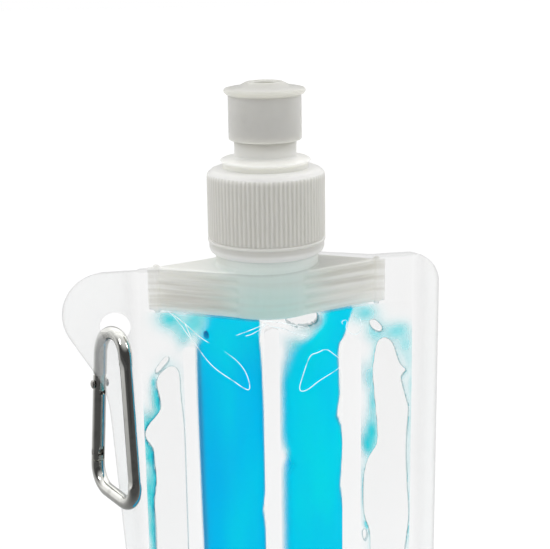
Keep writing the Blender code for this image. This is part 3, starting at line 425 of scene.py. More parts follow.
def moulded_finish(name, color, teal=0.0):
    """Translucent moulded polyethylene, with painted light: a faint painted glow, lighter upward faces, and below the
    nozzle a lighter colour and brighter glow as painted fill light.
    Painted shade sits in the grip's rib grooves; the fitment also gets a painted teal cast of the drink behind it and
    painted shade lines across its wings.
    """
    finish = Finish(name, color, 0.34, subsurface_weight=1.0, subsurface_scale=5 * MM, coat_roughness=0.10,
                    sheen_weight=0.08, sheen_roughness=0.4, emission_strength=0.07, specular_ior_level=0.35)
    finish.set(subsurface_radius=(1.0, 1.0, 0.92), coat_weight=0.14)
    cloud = finish.noise(45, 3)
    pale = tuple(channel * 1.04 for channel in color)
    tint = finish.mix(cloud.ramp(0.3, 0.7), color, pale)
    height = finish.axis("Z") - BOAT_TOP
    # Painted fill light: below the nozzle, and only faintly on the ribbed band, the colour is lighter and the glow
    # brighter.
    painted_fill = height.ramp(NOZZLE_FOOT - 6 * MM, NOZZLE_FOOT, 1.0, 0.0)
    # Painted highlight: upward faces below the nozzle are lighter.
    tint = finish.mix(finish.upward().ramp(0.25, 0.95) * painted_fill * 0.22, tint, PAINTED_TOP_LIGHT)
    crown = height.ramp(NOZZLE_LIP - 1 * MM, NOZZLE_LIP + 0.6 * MM)
    tint = finish.mix(crown * 0.45, tint, CROWN_GREY)
    skirt = height.ramp(6.0 * MM, 7.2 * MM) * height.ramp(RIB_TOP + 1 * MM, RIB_TOP - 2 * MM)
    painted_fill = painted_fill * (1 - skirt * 0.85)
    tint = finish.mix(painted_fill * 0.42, tint, PAINTED_FILL_WHITE)
    finish.set(emission_color=finish.mix(painted_fill, PAINTED_GLOW, PAINTED_FILL_GLOW))
    if teal:
        side = abs(finish.axis("X"))
        tint = finish.mix(side.ramp(20 * MM, 38 * MM), tint, WING_WHITE)
        # Painted teal cast of the blue drink seen through the fitment, strongest low and near the middle.
        near = side.ramp(4 * MM, 26 * MM, 1.0, 0.0)
        low = height.ramp(-BOAT_HEIGHT, 6 * MM, 1.0, 0.30)
        tint = finish.mix(near * low * teal, tint, TEAL)
        # Painted shade lines across the wings, standing in for their fine ribs.
        rib_shade_lines = finish.noise(520, 3, (0.04, 0.04, 1)).ramp(0.40, 0.62)
        tint = finish.mix(rib_shade_lines * side.ramp(10 * MM, 19 * MM, 0.10, 0.34), tint, PAINTED_RIB_SHADE)
    # Painted shade in the valleys of the grip's ribs.
    finish.set(base_color=finish.mix(finish.attribute("groove_shade") * 0.27, tint, GROOVE_SHADE))
    finish.set(roughness=finish.noise(300, 2).ramp(0.2, 0.8, 0.28, 0.40))
    finish.bump(finish.noise(350, 2) + 0.4 * finish.noise(1200, 2), 0.08, 0.1 * MM)
    return finish.material


def metal_finish(name, color, roughness):
    finish = Finish(name, color, roughness, metallic=1.0)
    scuff = finish.noise(700, 3, (1, 1, 0.12))
    finish.set(roughness=scuff.ramp(0.35, 0.75, roughness * 0.6, roughness * 1.6))
    worn = finish.noise(220, 3).ramp(0.55, 0.75)
    finish.set(base_color=finish.mix(worn, color, tuple(channel * 0.82 for channel in color)))
    finish.bump(scuff, 0.04, 0.1 * MM)
    return finish.material


def liner_finish():
    finish = Finish("liner_foam", (0.8, 0.8, 0.78), 0.7)
    pores = finish.noise(2500, 2)
    finish.set(base_color=finish.mix(pores, (0.74, 0.74, 0.72), (0.86, 0.86, 0.84)))
    finish.bump(pores, 0.2, 0.1 * MM)
    return finish.material


# The film's outline and depth, worked out for arrays of points
def smooth(value, low, high):
    share = np.clip((value - low) / (high - low), 0.0, 1.0)
    return share * share * (3 - 2 * share)


def mix(first, second, share):
    return first + (second - first) * share


def bell(value, centre, width):
    """1 at the centre, falling off smoothly on both sides."""
    return np.exp(-((value - centre) / width) ** 2)


def wing_half(x):
    """Half-depth of the boat's flat wing faces."""
    reach = math.hypot(WING_TIP, WING_TIP_HALF)
    angle = math.atan2(WING_TIP_HALF, WING_TIP) + math.acos(WING_R / reach)
    touch_x, touch_y = WING_R * math.cos(angle), WING_R * math.sin(angle)
    share = (np.minimum(np.abs(x), WING_TIP) - touch_x) / (WING_TIP - touch_x)
    return mix(touch_y, WING_TIP_HALF, np.maximum(share, 0.0))


def film_round_boat(x):
    """Half-depth of the film where it lies on the boat."""
    hub = np.sqrt(np.maximum(NECK_R ** 2 - x * x, 0.0))
    wing = np.where(np.abs(x) < WING_TIP, wing_half(x), 0.0)
    return np.maximum(np.maximum(hub, wing), NUB_R + 0.25 * MM) + FILM_FIT


def foot_corner(z):
    below = np.clip(FOOT_CORNER_R - (z + BOAT_TOP), 0.0, FOOT_CORNER_R)
    return FOOT_CORNER_R - np.sqrt(FOOT_CORNER_R ** 2 - below ** 2)


def edge_left(z):
    tangent_x = EAR_X + EAR_R * math.cos(EAR_ANGLE)
    tangent_z = -EAR_DROP - EAR_R * math.sin(EAR_ANGLE)
    rise = np.minimum(np.abs(z + EAR_DROP), EAR_R)
    ear = EAR_X + np.sqrt(EAR_R ** 2 - rise ** 2)
    slope = tangent_x - (tangent_z - z) * math.tan(EAR_ANGLE)
    side = mix(EDGE_LEFT_TOP, EDGE_LEFT_LOW, np.clip((-z - TAPER_TOP) / (TAPER_LOW - TAPER_TOP), 0.0, 1.0))
    blend = EAR_FILLET * np.log(1 + np.exp(-np.abs(slope - side) / EAR_FILLET))
    return np.where(z >= tangent_z, ear, np.maximum(slope, side) + blend) - foot_corner(z)


def edge_right(z):
    centre_z = TOP_RISE + TOP_SLOPE * (EDGE_RIGHT - CORNER_R) - CORNER_R
    rise = np.clip(z - centre_z, 0.0, CORNER_R)
    return EDGE_RIGHT - CORNER_R + np.sqrt(CORNER_R ** 2 - rise ** 2) - foot_corner(z)


def weld_distance(x, z):
    """Distance to the nearest side seam or strip, 0 on it."""
    nearest = np.minimum(x + SEAM_LEFT, SEAM_RIGHT - x)
    for centre, width, top in STRIPS:
        along = np.clip(z, STRIP_FOOT + width / 2 - BOAT_TOP, -top - width / 2)
        nearest = np.minimum(nearest, np.hypot(x - centre, z - along) - width / 2)
    return np.maximum(nearest, 0.0)


def film_half(x, z):
    """The films' inner half-depth: tubes, the boat at the top, the standing base at the foot."""
    seal = TOUCH / 2
    left, right = STRIPS[0][0] - x, x - STRIPS[2][0]
    outer = smooth(np.maximum(left, right), -OUTER_BLEND, OUTER_BLEND)
    depth = mix(INNER_DEPTH, OUTER_DEPTH, outer)
    reach = mix(INNER_ROUND, OUTER_ROUND, outer)
    near = 1 - np.minimum(weld_distance(x, z) / reach, 1.0)
    pillow = np.sqrt(1 - near * near)
    boat_share = smooth(-z, MANIFOLD_LOW, BOAT_HEIGHT + BOAT_CLEAR)
    pillow = mix(pillow, 1.0, smooth(-z, PINCH_LOW, BOAT_HEIGHT + BOAT_CLEAR))
    tubes = mix(depth, film_round_boat(x), boat_share) * pillow
    base = BASE_DEPTH * np.sqrt(np.maximum(1 - ((x - POUCH_MIDDLE) / POUCH_HALF) ** 2, 0.0))
    half = np.maximum(seal, mix(tubes, base, smooth(-(z + BOAT_TOP), -BASE_TOP, -SKIRT)))
    return np.where((x <= -SEAM_LEFT) | (x >= SEAM_RIGHT), seal, half)


# Modelling helpers
def pick(obj):
    """Select one object alone and make it active."""
    bpy.ops.object.select_all(action="DESELECT")
    obj.select_set(True)
    bpy.context.view_layer.objects.active = obj


def linked(name, data):
    """A new object in the scene."""
    obj = bpy.data.objects.new(name, data)
    bpy.context.scene.collection.objects.link(obj)
    return obj


def added(primitive, **options):
    """The object that a primitive's operator makes."""
    primitive(**options)
    return bpy.context.object


def apply_place(obj):
    """The object's place goes into its mesh."""
    pick(obj)
    bpy.ops.object.transform_apply(location=True, rotation=True, scale=True)
    return obj


def clean(obj):
    """Merges doubled vertices and turns the faces outwards."""
    pick(obj)
    bpy.ops.object.mode_set(mode="EDIT")
    bpy.ops.mesh.select_all(action="SELECT")
    bpy.ops.mesh.remove_doubles(threshold=DOUBLES)
    bpy.ops.mesh.normals_make_consistent(inside=False)
    bpy.ops.object.mode_set(mode="OBJECT")
    return obj


def settle(obj, name, material, body, *nodes, angle=35, slot=None):
    """Finish a piece: its place goes into its mesh, it gets its material and rides on its body."""
    apply_place(obj)
    bpy.ops.object.shade_smooth_by_angle(angle=math.radians(angle))
    obj.name = name
    obj.data.materials.clear()
    obj.data.materials.append(material)
    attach(obj, body)
    if nodes:
        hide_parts(*nodes)


def apply_all(obj):
    pick(obj)
    for modifier in list(obj.modifiers):
        bpy.ops.object.modifier_apply(modifier=modifier.name)


def cut(obj, *tools, operation="DIFFERENCE"):
    """Boolean with each tool in turn, which uses them up."""
    pick(obj)
    for tool in tools:
        modifier = obj.modifiers.new("cut", "BOOLEAN")
        modifier.object = tool
        modifier.operation = operation
        modifier.solver = "EXACT"
        bpy.ops.object.modifier_apply(modifier=modifier.name)
        bpy.data.objects.remove(tool, do_unlink=True)


def float_layer(mesh, name, values):
    layer = mesh.attributes.new(name, "FLOAT", "POINT")
    layer.data.foreach_set("value", np.asarray(values, np.float32))


def grid(columns, rows):
    """A grid primitive, with each vertex's column and row."""
    obj = added(bpy.ops.mesh.primitive_grid_add, x_subdivisions=columns - 1, y_subdivisions=rows - 1, size=2)
    places = np.array([vert.co for vert in obj.data.vertices])
    column = np.rint((places[:, 0] + 1) / 2 * (columns - 1)).astype(int)
    row = np.rint((1 - places[:, 1]) / 2 * (rows - 1)).astype(int)
    return obj, column, row


def close_back(mesh, dry=0.0, paint=None):
    """Closes a front sheet with its mirror image, and drops what is thinner than dry. Paint alters the back."""
    bm = bmesh.new()
    bm.from_mesh(mesh)
    thin = [face for face in bm.faces if all(-vert.co.y <= dry for vert in face.verts)]
    bmesh.ops.delete(bm, geom=thin, context="FACES")
    fronts = set(bm.verts)
    bmesh.ops.extrude_face_region(bm, geom=list(bm.faces))
    for vert in bm.verts:
        if vert not in fronts:
            vert.co.y = -vert.co.y
            if paint:
                paint(vert, bm.verts.layers.float)
    bmesh.ops.recalc_face_normals(bm, faces=bm.faces)
    bm.to_mesh(mesh)
    bm.free()


def tube(radius, resolution, paths):
    """A mesh tube along each path of (x, y, z, share of the radius) points."""
    curve = bpy.data.curves.new("tube", "CURVE")
    curve.dimensions = "3D"
    curve.bevel_depth = radius
    curve.bevel_resolution = resolution
    curve.use_fill_caps = True
    for path in paths:
        spline = curve.splines.new("POLY")
        spline.points.add(len(path) - 1)
        for point, (x, y, z, share) in zip(spline.points, path):
            point.co = (x, y, z, 1)
            point.radius = share
    pick(linked("tube", curve))
    bpy.ops.object.convert(target="MESH")
    return bpy.context.object


def spaced(stops):
    """Places from (start, step) stops, evenly spread between each stop and the next."""
    places = []
    for (start, step), (end, _) in zip(stops, stops[1:]):
        count = max(1, round(abs(end - start) / step))
        places += [mix(start, end, index / count) for index in range(count)]
    return np.array(places + [stops[-1][0]])


# The film
FILM_DEPTHS = spaced([(0, 0.8 * MM), (52 * MM, 1.6 * MM), (150 * MM, 1.3 * MM), (BOAT_TOP, 1 * MM)])
FILM_TUBES = spaced([(-SEAM_LEFT, 0.7 * MM), (SEAM_RIGHT, 1 * MM)])
LEFT_COLUMNS = 30
RIGHT_COLUMNS = 9
CUT_EDGE = 0.35 * MM


def film_points(column, row):
    """x and z of the film's grid points."""
    depth = FILM_DEPTHS[row]
    fade = np.maximum(1 - depth / TOP_BLEND, 0.0)

    def height(x):
        return (TOP_RISE + TOP_SLOPE * x) * fade - depth

    left = -edge_left(height(-EAR_X))
    right = np.maximum(edge_right(height(EDGE_RIGHT - CORNER_R)), SEAM_RIGHT + 0.4 * MM)
    x = FILM_TUBES[np.clip(column - LEFT_COLUMNS, 0, len(FILM_TUBES) - 1)]
    x = np.where(column < LEFT_COLUMNS, mix(left, -SEAM_LEFT, column / LEFT_COLUMNS), x)
    past = column - LEFT_COLUMNS - len(FILM_TUBES) + 1
    x = np.where(past > 0, mix(SEAM_RIGHT, right, past / RIGHT_COLUMNS), x)
    return x, height(x), left, right


def make_film(material):
    """Both films as one thin closed skin, front and back joined along the cut edge."""
    columns = LEFT_COLUMNS + len(FILM_TUBES) + RIGHT_COLUMNS
    obj, column, row = grid(columns, len(FILM_DEPTHS))
    x, z, left, right = film_points(column, row)
    half = film_half(x, z) + FILM_THICK
    obj.data.vertices.foreach_set("co", np.stack([x, -half, z + BOAT_TOP], 1).ravel())
    margin = np.minimum(np.minimum(x - left, right - x), FILM_DEPTHS[row])
    float_layer(obj.data, "edge", bell(margin, 0.0, CUT_EDGE))
    float_layer(obj.data, "seal", (half <= TOUCH + FILM_THICK).astype(float))
    close_back(obj.data)
    hole = rod(EAR_HOLE_R, -CUT_THROUGH, CUT_THROUGH, 96, True)
    cut(obj, shift(hole, -EAR_HOLE_X, BOAT_TOP - EAR_HOLE_DROP))
    settle(obj, "pouch_film", material, "pouch", "front_film", "back_film")


# The drink
DRINK_INSET = 0.35 * MM
THINNEST = 0.05 * MM
DRY = 0.06 * MM
SHORE_REACH_MM = 3.0
RIM_MM = 1.5
SHALLOW = 0.35
BACK_FADE_TOP = 30 * MM
BACK_FADE = 15 * MM


def outline_distance(x, z, outline_mm):
    """Signed distance to a closed outline in millimetres, negative inside."""
    points = rounded(np.array(outline_mm), True)
    ends = np.roll(points, -1, axis=0)
    px, pz = x / MM, z / MM
    best = np.full(px.shape, 1e9)
    inside = np.zeros(px.shape, bool)
    for (ax, az), (bx, bz) in zip(points, ends):
        ex, ez = bx - ax, bz - az
        share = np.clip(((px - ax) * ex + (pz - az) * ez) / (ex * ex + ez * ez), 0.0, 1.0)
        best = np.minimum(best, np.hypot(px - ax - share * ex, pz - az - share * ez))
        crosses = (az > pz) != (bz > pz)
        safe = ez if abs(ez) > 1e-9 else 1e-9
        inside ^= crosses & (px < (pz - az) / safe * ex + ax)
    return np.where(inside, -best, best)


def rounded(points, closed, times=3):
    """A path with its corners cut off a few times. An open one keeps its ends."""
    for _ in range(times):
        following = np.roll(points, -1, axis=0)
        pairs = np.stack([0.75 * points + 0.25 * following, 0.25 * points + 0.75 * following], 1)
        points = pairs.reshape(-1, 2) if closed else np.vstack([points[:1], *pairs[:-1], points[-1:]])
    return points


def along(z, stops):
    """A place across the pouch that changes with height, from (height, place) stops in millimetres."""
    heights, places = zip(*stops)
    return np.interp(z / MM, heights, places) * MM


def drink_fields(x, z):
    """Half-depth and the painted values of the drink's front, at x and height z."""
    shore = np.full(x.shape, SHORE_REACH_MM)
    for outline in AIR_OUTLINES_MM:
        shore = np.minimum(shore, outline_distance(x, z, outline))
    shore = np.maximum(shore, -SHORE_REACH_MM)
    rim = np.clip(shore / RIM_MM, 0.0, 1.0)
    half = film_half(x, z) - DRINK_INSET
    half = np.maximum(half * (SHALLOW + (1 - SHALLOW) * np.sqrt(1 - (1 - rim) ** 2)), THINNEST)

    # The full blue of the two middle tubes and the base
    two_left, two_right = x - along(z, LEFT_TUBE_LEFT_MM), along(z, LEFT_TUBE_RIGHT_MM) - x
    three_left, three_right = x - along(z, RIGHT_TUBE_LEFT_MM), along(z, RIGHT_TUBE_RIGHT_MM) - x
    blur = 0.5 * MM + 2.0 * MM * smooth(z, -31 * MM, -21 * MM)
    tube_two = smooth(two_left, -blur, blur) * smooth(two_right, -0.3 * MM, 0.4 * MM)
    tube_three = smooth(three_left, -2.0 * MM, 2.2 * MM + blur) * smooth(three_right, -0.3 * MM, 0.4 * MM)
    deep = smooth(-z, 126 * MM, 142 * MM)
    core = np.maximum(np.maximum(tube_two, tube_three), deep)

    # Haze elsewhere, in patches and along the two large air pockets
    clear = 1 - core
    for across, height, wide, high, strength in PATCHES_MM:
        reach = ((x / MM - across) / wide) ** 2 + ((z / MM - height) / high) ** 2
        clear *= 1 - strength * np.exp(-reach)
    left_air = np.maximum(outline_distance(x, z, LEFT_AIR_MM), 0.0)
    glow = 0.86 * smooth(-x, 36 * MM, 38 * MM) * smooth(-z, 38 * MM, 44 * MM) + 0.12
    clear *= 1 - glow * bell(left_air, 0.0, 2.3)
    right_air = np.maximum(outline_distance(x, z, RIGHT_AIR_MM), 0.0)
    clear *= 1 - 0.35 * np.exp(-right_air / 0.8)
    blue = np.where(shore < 0, core, 1 - clear)

    # Painted shade along the edges of the tubes, and a paler tone to the right and the top
    tube_edge_shade = 0.62 * bell(two_left, 0.5 * MM, 0.9 * MM) * smooth(-z, 22 * MM, 30 * MM)
    sides = 0.55 * bell(three_right, 0.2 * MM, 0.5 * MM) + 0.30 * bell(two_right, 0.1 * MM, 0.4 * MM)
    tube_edge_shade += sides * smooth(-z, 22 * MM, 27 * MM)
    tone = 0.18 + 0.22 * smooth(two_left, 3 * MM, 12 * MM) + 0.40 * smooth(x, 2 * MM, 4 * MM)
    tone += 0.3 * smooth(z, -40 * MM, -20 * MM)
    values = {"shore": shore, "core": core, "blue": blue, "tone": tone, "tube_edge_shade": np.clip(tube_edge_shade * (1 - deep), 0.0, 1.0)}
    return half, values


def back_of_drink(vert, layer):
    """The back shows no air and no haze, and the blue of the tubes fades out towards its top."""
    vert[layer["front"]] = 0.0
    share = (BOAT_TOP - BACK_FADE_TOP - vert.co.z) / BACK_FADE
    vert[layer["blue"]] = vert[layer["core"]] * min(max(share, 0.0), 1.0)


def make_drink(material):
    floor = GUSSET_THICK + TOUCH
    xs = spaced([(-SEAM_LEFT + 0.3 * MM, 0.55 * MM), (SEAM_RIGHT - 0.3 * MM, 1 * MM)])
    depths = spaced([(15.9 * MM, 0.55 * MM), (112 * MM, 1.5 * MM), (BOAT_TOP - floor, 1 * MM)])
    obj, column, row = grid(len(xs), len(depths))
    x, z = xs[column], -depths[row]
    half, values = drink_fields(x, z)
    half = np.maximum(half - np.where(z + BOAT_TOP < GUSSET_RIM + TOUCH, floor, 0.0), THINNEST)
    obj.data.vertices.foreach_set("co", np.stack([x, -half, z + BOAT_TOP], 1).ravel())
    values["front"] = np.ones(len(x))
    for name, value in values.items():
        float_layer(obj.data, name, value)
    close_back(obj.data, DRY, back_of_drink)
    settle(obj, "drink_body", material, "pouch", "drink", angle=60)


def film_front_y(x, z):
    return -float(film_half(np.array([x]), np.array([z]))[0]) - FILM_THICK


def make_creases(material):
    """Fine ridges that lie on the front film, in a finish with a painted highlight."""
    paths = []
    for points in CREASES_MM:
        path = rounded(np.array(points), False) * MM
        shares = [index / (len(path) - 1) for index in range(len(path))]
        paths.append([(x, film_front_y(x, z), z + BOAT_TOP, 0.25 + 0.75 * min(1.0, 6 * share, 6 * (1 - share)))
                      for share, (x, z) in zip(shares, path)])
    settle(tube(CREASE_R, 2, paths), "film_creases", material, "pouch", slot="clear_film")


def make_bubble(material):
    """One round bubble under the film."""
    x, z, radius = (value * MM for value in BUBBLE_MM)
    bubble = added(bpy.ops.mesh.primitive_uv_sphere_add, segments=32, ring_count=16, radius=radius,
                   location=(x, film_front_y(x, z) + 0.75 * MM, z + BOAT_TOP))
    bubble.scale = (0.8, 0.35, 1)
    settle(bubble, "round_bubble", material, "pouch", slot="blue_drink")


# Turned and cut pieces
def turned(profile, steps=144):
    """A closed profile spun round the spout's axis. A point is a radius and a height above the boat's top face,
    with offsets in millimetres to both where it has four values."""
    obj = added(bpy.ops.mesh.primitive_plane_add, size=1 * MM)
    bpy.ops.object.mode_set(mode="EDIT")
    bpy.ops.mesh.select_all(action="SELECT")
    bpy.ops.mesh.merge(type="CENTER")
    points = [Vector((radius + out * MM, 0, BOAT_TOP + height + up * MM))
              for radius, height, out, up in [(*point, 0, 0)[:4] for point in profile]]
    bpy.ops.transform.translate(value=points[0])
    for before, after in zip(points, points[1:] + points[:1]):
        bpy.ops.mesh.extrude_region_move(TRANSFORM_OT_translate={"value": after - before})
    bpy.ops.mesh.select_all(action="SELECT")
    bpy.ops.mesh.spin(steps=steps, angle=2 * math.pi, center=(0, 0, 0), axis=(0, 0, 1))
    bpy.ops.object.mode_set(mode="OBJECT")
    return clean(obj)


def soften(obj, width):
    """Rounds the edges that turn more than 30 degrees."""
    bevel = obj.modifiers.new("soft_edges", "BEVEL")
    bevel.width = width
    bevel.segments = 2
    bevel.limit_method = "ANGLE"
    bevel.angle_limit = math.radians(30)
    apply_all(obj)
    return obj


def block(low, high):
    """A box between two corners."""
    obj = added(bpy.ops.mesh.primitive_cube_add, size=1, location=[(a + b) / 2 for a, b in zip(low, high)])
    obj.scale = [b - a for a, b in zip(low, high)]
    return apply_place(obj)


def rod(radius, low, high, steps=48, along_y=False):
    """A cylinder on the Z axis, or on the Y axis, between two places."""
    middle = (low + high) / 2
    place = (0, middle, 0) if along_y else (0, 0, middle)
    turn = (math.radians(90), 0, 0) if along_y else (0, 0, 0)
    return apply_place(added(bpy.ops.mesh.primitive_cylinder_add, vertices=steps, radius=radius,
                             depth=high - low, location=place, rotation=turn))


def shift(obj, x, z):
    obj.location = (x, 0, z)
    return apply_place(obj)


def pin_hole(x, z):
    """A cutter for a pin's hole, right through the bar."""
    return shift(rod(PIN_R + PIN_GAP, -CUT_THROUGH, CUT_THROUGH, 32, True), x, z)


def join(pieces):
    pick(pieces[0])
    for piece in pieces:
        piece.select_set(True)
    bpy.ops.object.join()
    return pieces[0]


def make_fitment(material):
    """The boat, neck and fins as one soft-edged moulding."""
    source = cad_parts["spout_fitment"]
    obj = linked("spout_boat", source.data.copy())
    obj.matrix_world = source.matrix_world
    clean(obj)
    remesh = obj.modifiers.new("even_faces", "REMESH")
    remesh.mode = "VOXEL"
    remesh.voxel_size = 0.40 * MM
    ease = obj.modifiers.new("eased_edges", "SMOOTH")
    ease.factor = 0.5
    ease.iterations = 2
    apply_all(obj)
    settle(obj, "spout_boat", material, "pouch", "spout_fitment", angle=80)


def make_cap(material):
    """Ribbed wall, shoulder, snap rim and tower, with the plug on its three webs."""
    ceiling = NECK_HEIGHT + LINER_THICK + 0.6 * MM
    bead, lip = TOWER_R + TOWER_BEAD, NECK_R + TOUCH
    stop = NOZZLE_FOOT + 1.8 * MM
    profile = [
        (TOWER_BORE_R, TOWER_TOP), (bead, TOWER_TOP, -0.3, 0), (bead, TOWER_TOP, 0, -0.3), (bead, TOWER_TOP, 0, -1),
        (TOWER_R, TOWER_TOP, 0, -1.5), (TOWER_R, stop, 0, 1.4), (bead, stop, 0, 1), (bead, stop),
        (TOWER_R, stop, 0, -0.3), (TOWER_R, SNAP_RIM, 0, 1.8), (TOWER_R, SNAP_RIM, 0.6, 1.3),
        (SNAP_RIM_R, SNAP_RIM, -0.9, 0.7), (SNAP_RIM_R, SNAP_RIM, -0.2, 0.35), (SNAP_RIM_R, SNAP_RIM),
        (SNAP_RIM_R, SNAP_RIM, -0.2, -0.3), (COLLAR_R, SNAP_RIM, 0, -0.8), (COLLAR_R, SHOULDER),
        (RIB_ROOT_R, SHOULDER, -2.2, -0.25), (RIB_ROOT_R, SHOULDER, -1.0, -0.7),
        (RIB_ROOT_R, SHOULDER, -0.25, -1.4),
        *[(RIB_ROOT_R, RIB_TOP, 0, up) for up in (0.1, -0.6, -1.6, -8)],
        *[(RIB_ROOT_R, CAP_BEAD, 0, up) for up in (8, 1.6, 1.1, 0.6)],
        (CAP_BEAD_R, CAP_BEAD, 0, 0.3), (CAP_BEAD_R, CAP_BEAD, 0, -0.3), (CAP_SKIRT_R, CAP_BEAD, 0, -0.7),
        (CAP_SKIRT_R, CAP_FOOT, 0, 1.8), (CAP_SKIRT_R, CAP_FOOT, -0.4, 0.9), (CAP_LIP_R, CAP_FOOT, 0.3, 0.2),
        (CAP_LIP_R, CAP_FOOT), (lip, CAP_FOOT), (lip, CAP_FOOT, 0, 0.6), (CAP_BORE_R, CAP_FOOT, 0, 1.6),
        (CAP_BORE_R, ceiling), (TOWER_BORE_R, ceiling),
    ]
    wall = soften(turned(profile, RIB_COUNT * 6), 0.15 * MM)
    press_ribs(wall)
    plug_top = NOZZLE_TOP - NOZZLE_TRAVEL
    plug = [(0, plug_top), (PLUG_R, plug_top, -0.8, 0), (PLUG_R, plug_top, 0, -0.8), (PLUG_R, WEB_LOW), (0, WEB_LOW)]
    plug = soften(turned(plug, 48), 0.2 * MM)
    webs = []
    for index in range(3):
        web = soften(block((0, -WEB_THICK / 2, BOAT_TOP + WEB_LOW),
                           (TOWER_BORE_R + 0.5 * MM, WEB_THICK / 2, BOAT_TOP + WEB_HIGH)), 0.2 * MM)
        web.rotation_euler.z = math.radians(120 * index + 90)
        webs.append(apply_place(web))
    settle(join([wall, plug] + webs), "cap_shell", material, "cap", "screw_cap")


def press_ribs(wall):
    """Waves the wall's radius into the grip's ribs, fading out at both ends, and marks their valleys for painted
    shade.
    """
    low, high = CAP_BEAD + 0.5 * MM, RIB_TOP + 0.5 * MM
    groove_shade = np.zeros(len(wall.data.vertices))
    for vert in wall.data.vertices:
        radius = math.hypot(vert.co.x, vert.co.y)
        height = vert.co.z - BOAT_TOP
        if abs(radius - RIB_ROOT_R) < 0.1 * MM and low < height < high:
            fade = float(min(smooth(height, low, low + 0.5 * MM), smooth(-height, -high, -high + 1.4 * MM)))
            wave = 0.5 + 0.5 * math.cos(RIB_COUNT * math.atan2(vert.co.y, vert.co.x))
            grown = radius + fade * (mix(RIB_VALLEY_R, RIB_CREST_R, wave) - RIB_ROOT_R)
            vert.co.xy *= grown / radius
            groove_shade[vert.index] = fade * (1 - wave)
    float_layer(wall.data, "groove_shade", groove_shade)


def make_nozzle(material):
    """The pull-up nozzle, its crown sunk a little round the outlet."""
    inner = NOZZLE_R - NOZZLE_WALL
    grip = TOWER_R + TOUCH
    under = NOZZLE_TOP - OUTLET_DEEP
    profile = [
        (OUTLET_R, NOZZLE_TOP, 0, -0.6), (OUTLET_R, NOZZLE_TOP, 0.3, -0.4), (NOZZLE_TOP_R, NOZZLE_TOP, -0.5, -0.3),
        (NOZZLE_TOP_R, NOZZLE_TOP, -0.15, 0), (NOZZLE_TOP_R, NOZZLE_TOP, 0.35, -0.05),
        (NOZZLE_TOP_R, NOZZLE_TOP, 1.1, -0.4), (NOZZLE_DOME_R, NOZZLE_TOP, 0, -1.65),
        (NOZZLE_LIP_R, NOZZLE_LIP, -1.4, 0.65), (NOZZLE_LIP_R, NOZZLE_LIP, -0.5, 0.45), (NOZZLE_LIP_R, NOZZLE_LIP),
        (NOZZLE_LIP_R, NOZZLE_LIP, 0, -0.6), (NOZZLE_LIP_R, NOZZLE_LIP, -0.6, -1.3),
        (NOZZLE_R, NOZZLE_LIP, 0, -1.7), (NOZZLE_R, NOZZLE_FOOT, 0, 0.3), (NOZZLE_R, NOZZLE_FOOT, -0.3, 0),
        (grip, NOZZLE_FOOT), (grip, NOZZLE_FOOT, 0, 0.9), (inner, NOZZLE_FOOT, 0, 1.3),
        (inner, NOZZLE_LIP, 0, -1.4), (inner, NOZZLE_LIP, -0.8, -0.7), (OUTLET_R, under, 1, 1),
        (OUTLET_R, under, 1, 0), (OUTLET_R, under),
    ]
    settle(soften(turned(profile), 0.2 * MM), "nozzle_shell", material, "nozzle", "nozzle")


def base_outline():
    """The standing base's outline, drawn in by the gusset's gap to the films."""
    x = spaced([(-SEAM_LEFT + 1 * MM, 1.5 * MM), (SEAM_RIGHT - 1 * MM, 1 * MM)])
    half = film_half(x, np.full(x.shape, -BOAT_TOP)) - TOUCH
    return [(a, -h) for a, h in zip(x, half)] + [(a, h) for a, h in zip(x[::-1], half[::-1])]


def make_gusset(material):
    """The folded-out bottom: a rim against the films and a flat floor."""
    outline = base_outline()
    obj = added(bpy.ops.mesh.primitive_circle_add, vertices=len(outline), radius=1 * MM, fill_type="NGON")
    for vert, (x, y) in zip(obj.data.vertices, outline):
        vert.co = (x, y, 0)
    bpy.ops.object.mode_set(mode="EDIT")
    bpy.ops.mesh.select_all(action="SELECT")
    bpy.ops.mesh.inset(thickness=1.5 * MM)
    bpy.ops.mesh.inset(thickness=3 * MM)
    bpy.ops.object.mode_set(mode="OBJECT")
    for vert in obj.data.vertices[:len(outline)]:
        vert.co.z = GUSSET_RIM
    clean(obj)
    wall = obj.modifiers.new("wall", "SOLIDIFY")
    wall.thickness = GUSSET_THICK
    wall.offset = 1.0
    apply_all(obj)
    obj.location.z = GUSSET_LIFT - min(vert.co.z for vert in obj.data.vertices)
    settle(obj, "gusset_film", material, "pouch", "bottom_gusset")


# The carabiner
def rounded_path(corners, radii, step=math.radians(5)):
    """An open path through the corners, each one turned on an arc of its radius."""
    corners = [Vector(corner) for corner in corners]
    points = [corners[0]]
    for before, corner, after, radius in zip(corners, corners[1:], corners[2:], radii):
        ahead = (corner - before).normalized()
        turn = ahead.angle_signed((after - corner).normalized())
        start = corner - ahead * radius * math.tan(abs(turn) / 2)
        spoke = math.copysign(radius, turn) * Vector((-ahead.y, ahead.x))
        count = max(2, math.ceil(abs(turn) / step))
        points += [start - spoke + Matrix.Rotation(-turn * index / count, 2) @ spoke for index in range(count + 1)]
    return [(point.x, point.y) for point in points + [corners[-1]]]


def dense(path, gap=1 * MM):
    """The path with points added along its straight runs."""
    points = [path[0]]
    for (ax, az), (bx, bz) in zip(path, path[1:]):
        count = max(1, round(math.hypot(bx - ax, bz - az) / gap))
        points += [(mix(ax, bx, i / count), mix(az, bz, i / count)) for i in range(1, count + 1)]
    return points


def hang(obj):
    """From the ring's own frame to where it hangs in the ear."""
    place = Matrix.Translation((-HANG_X, 0, BOAT_TOP - EAR_HOLE_DROP - EAR_HOLE_R + BAR_R + HANG_GAP))
    obj.matrix_world = place @ Matrix.Rotation(RING_TILT, 4, "Y") @ Matrix.Rotation(-RING_TURN, 4, "Z")


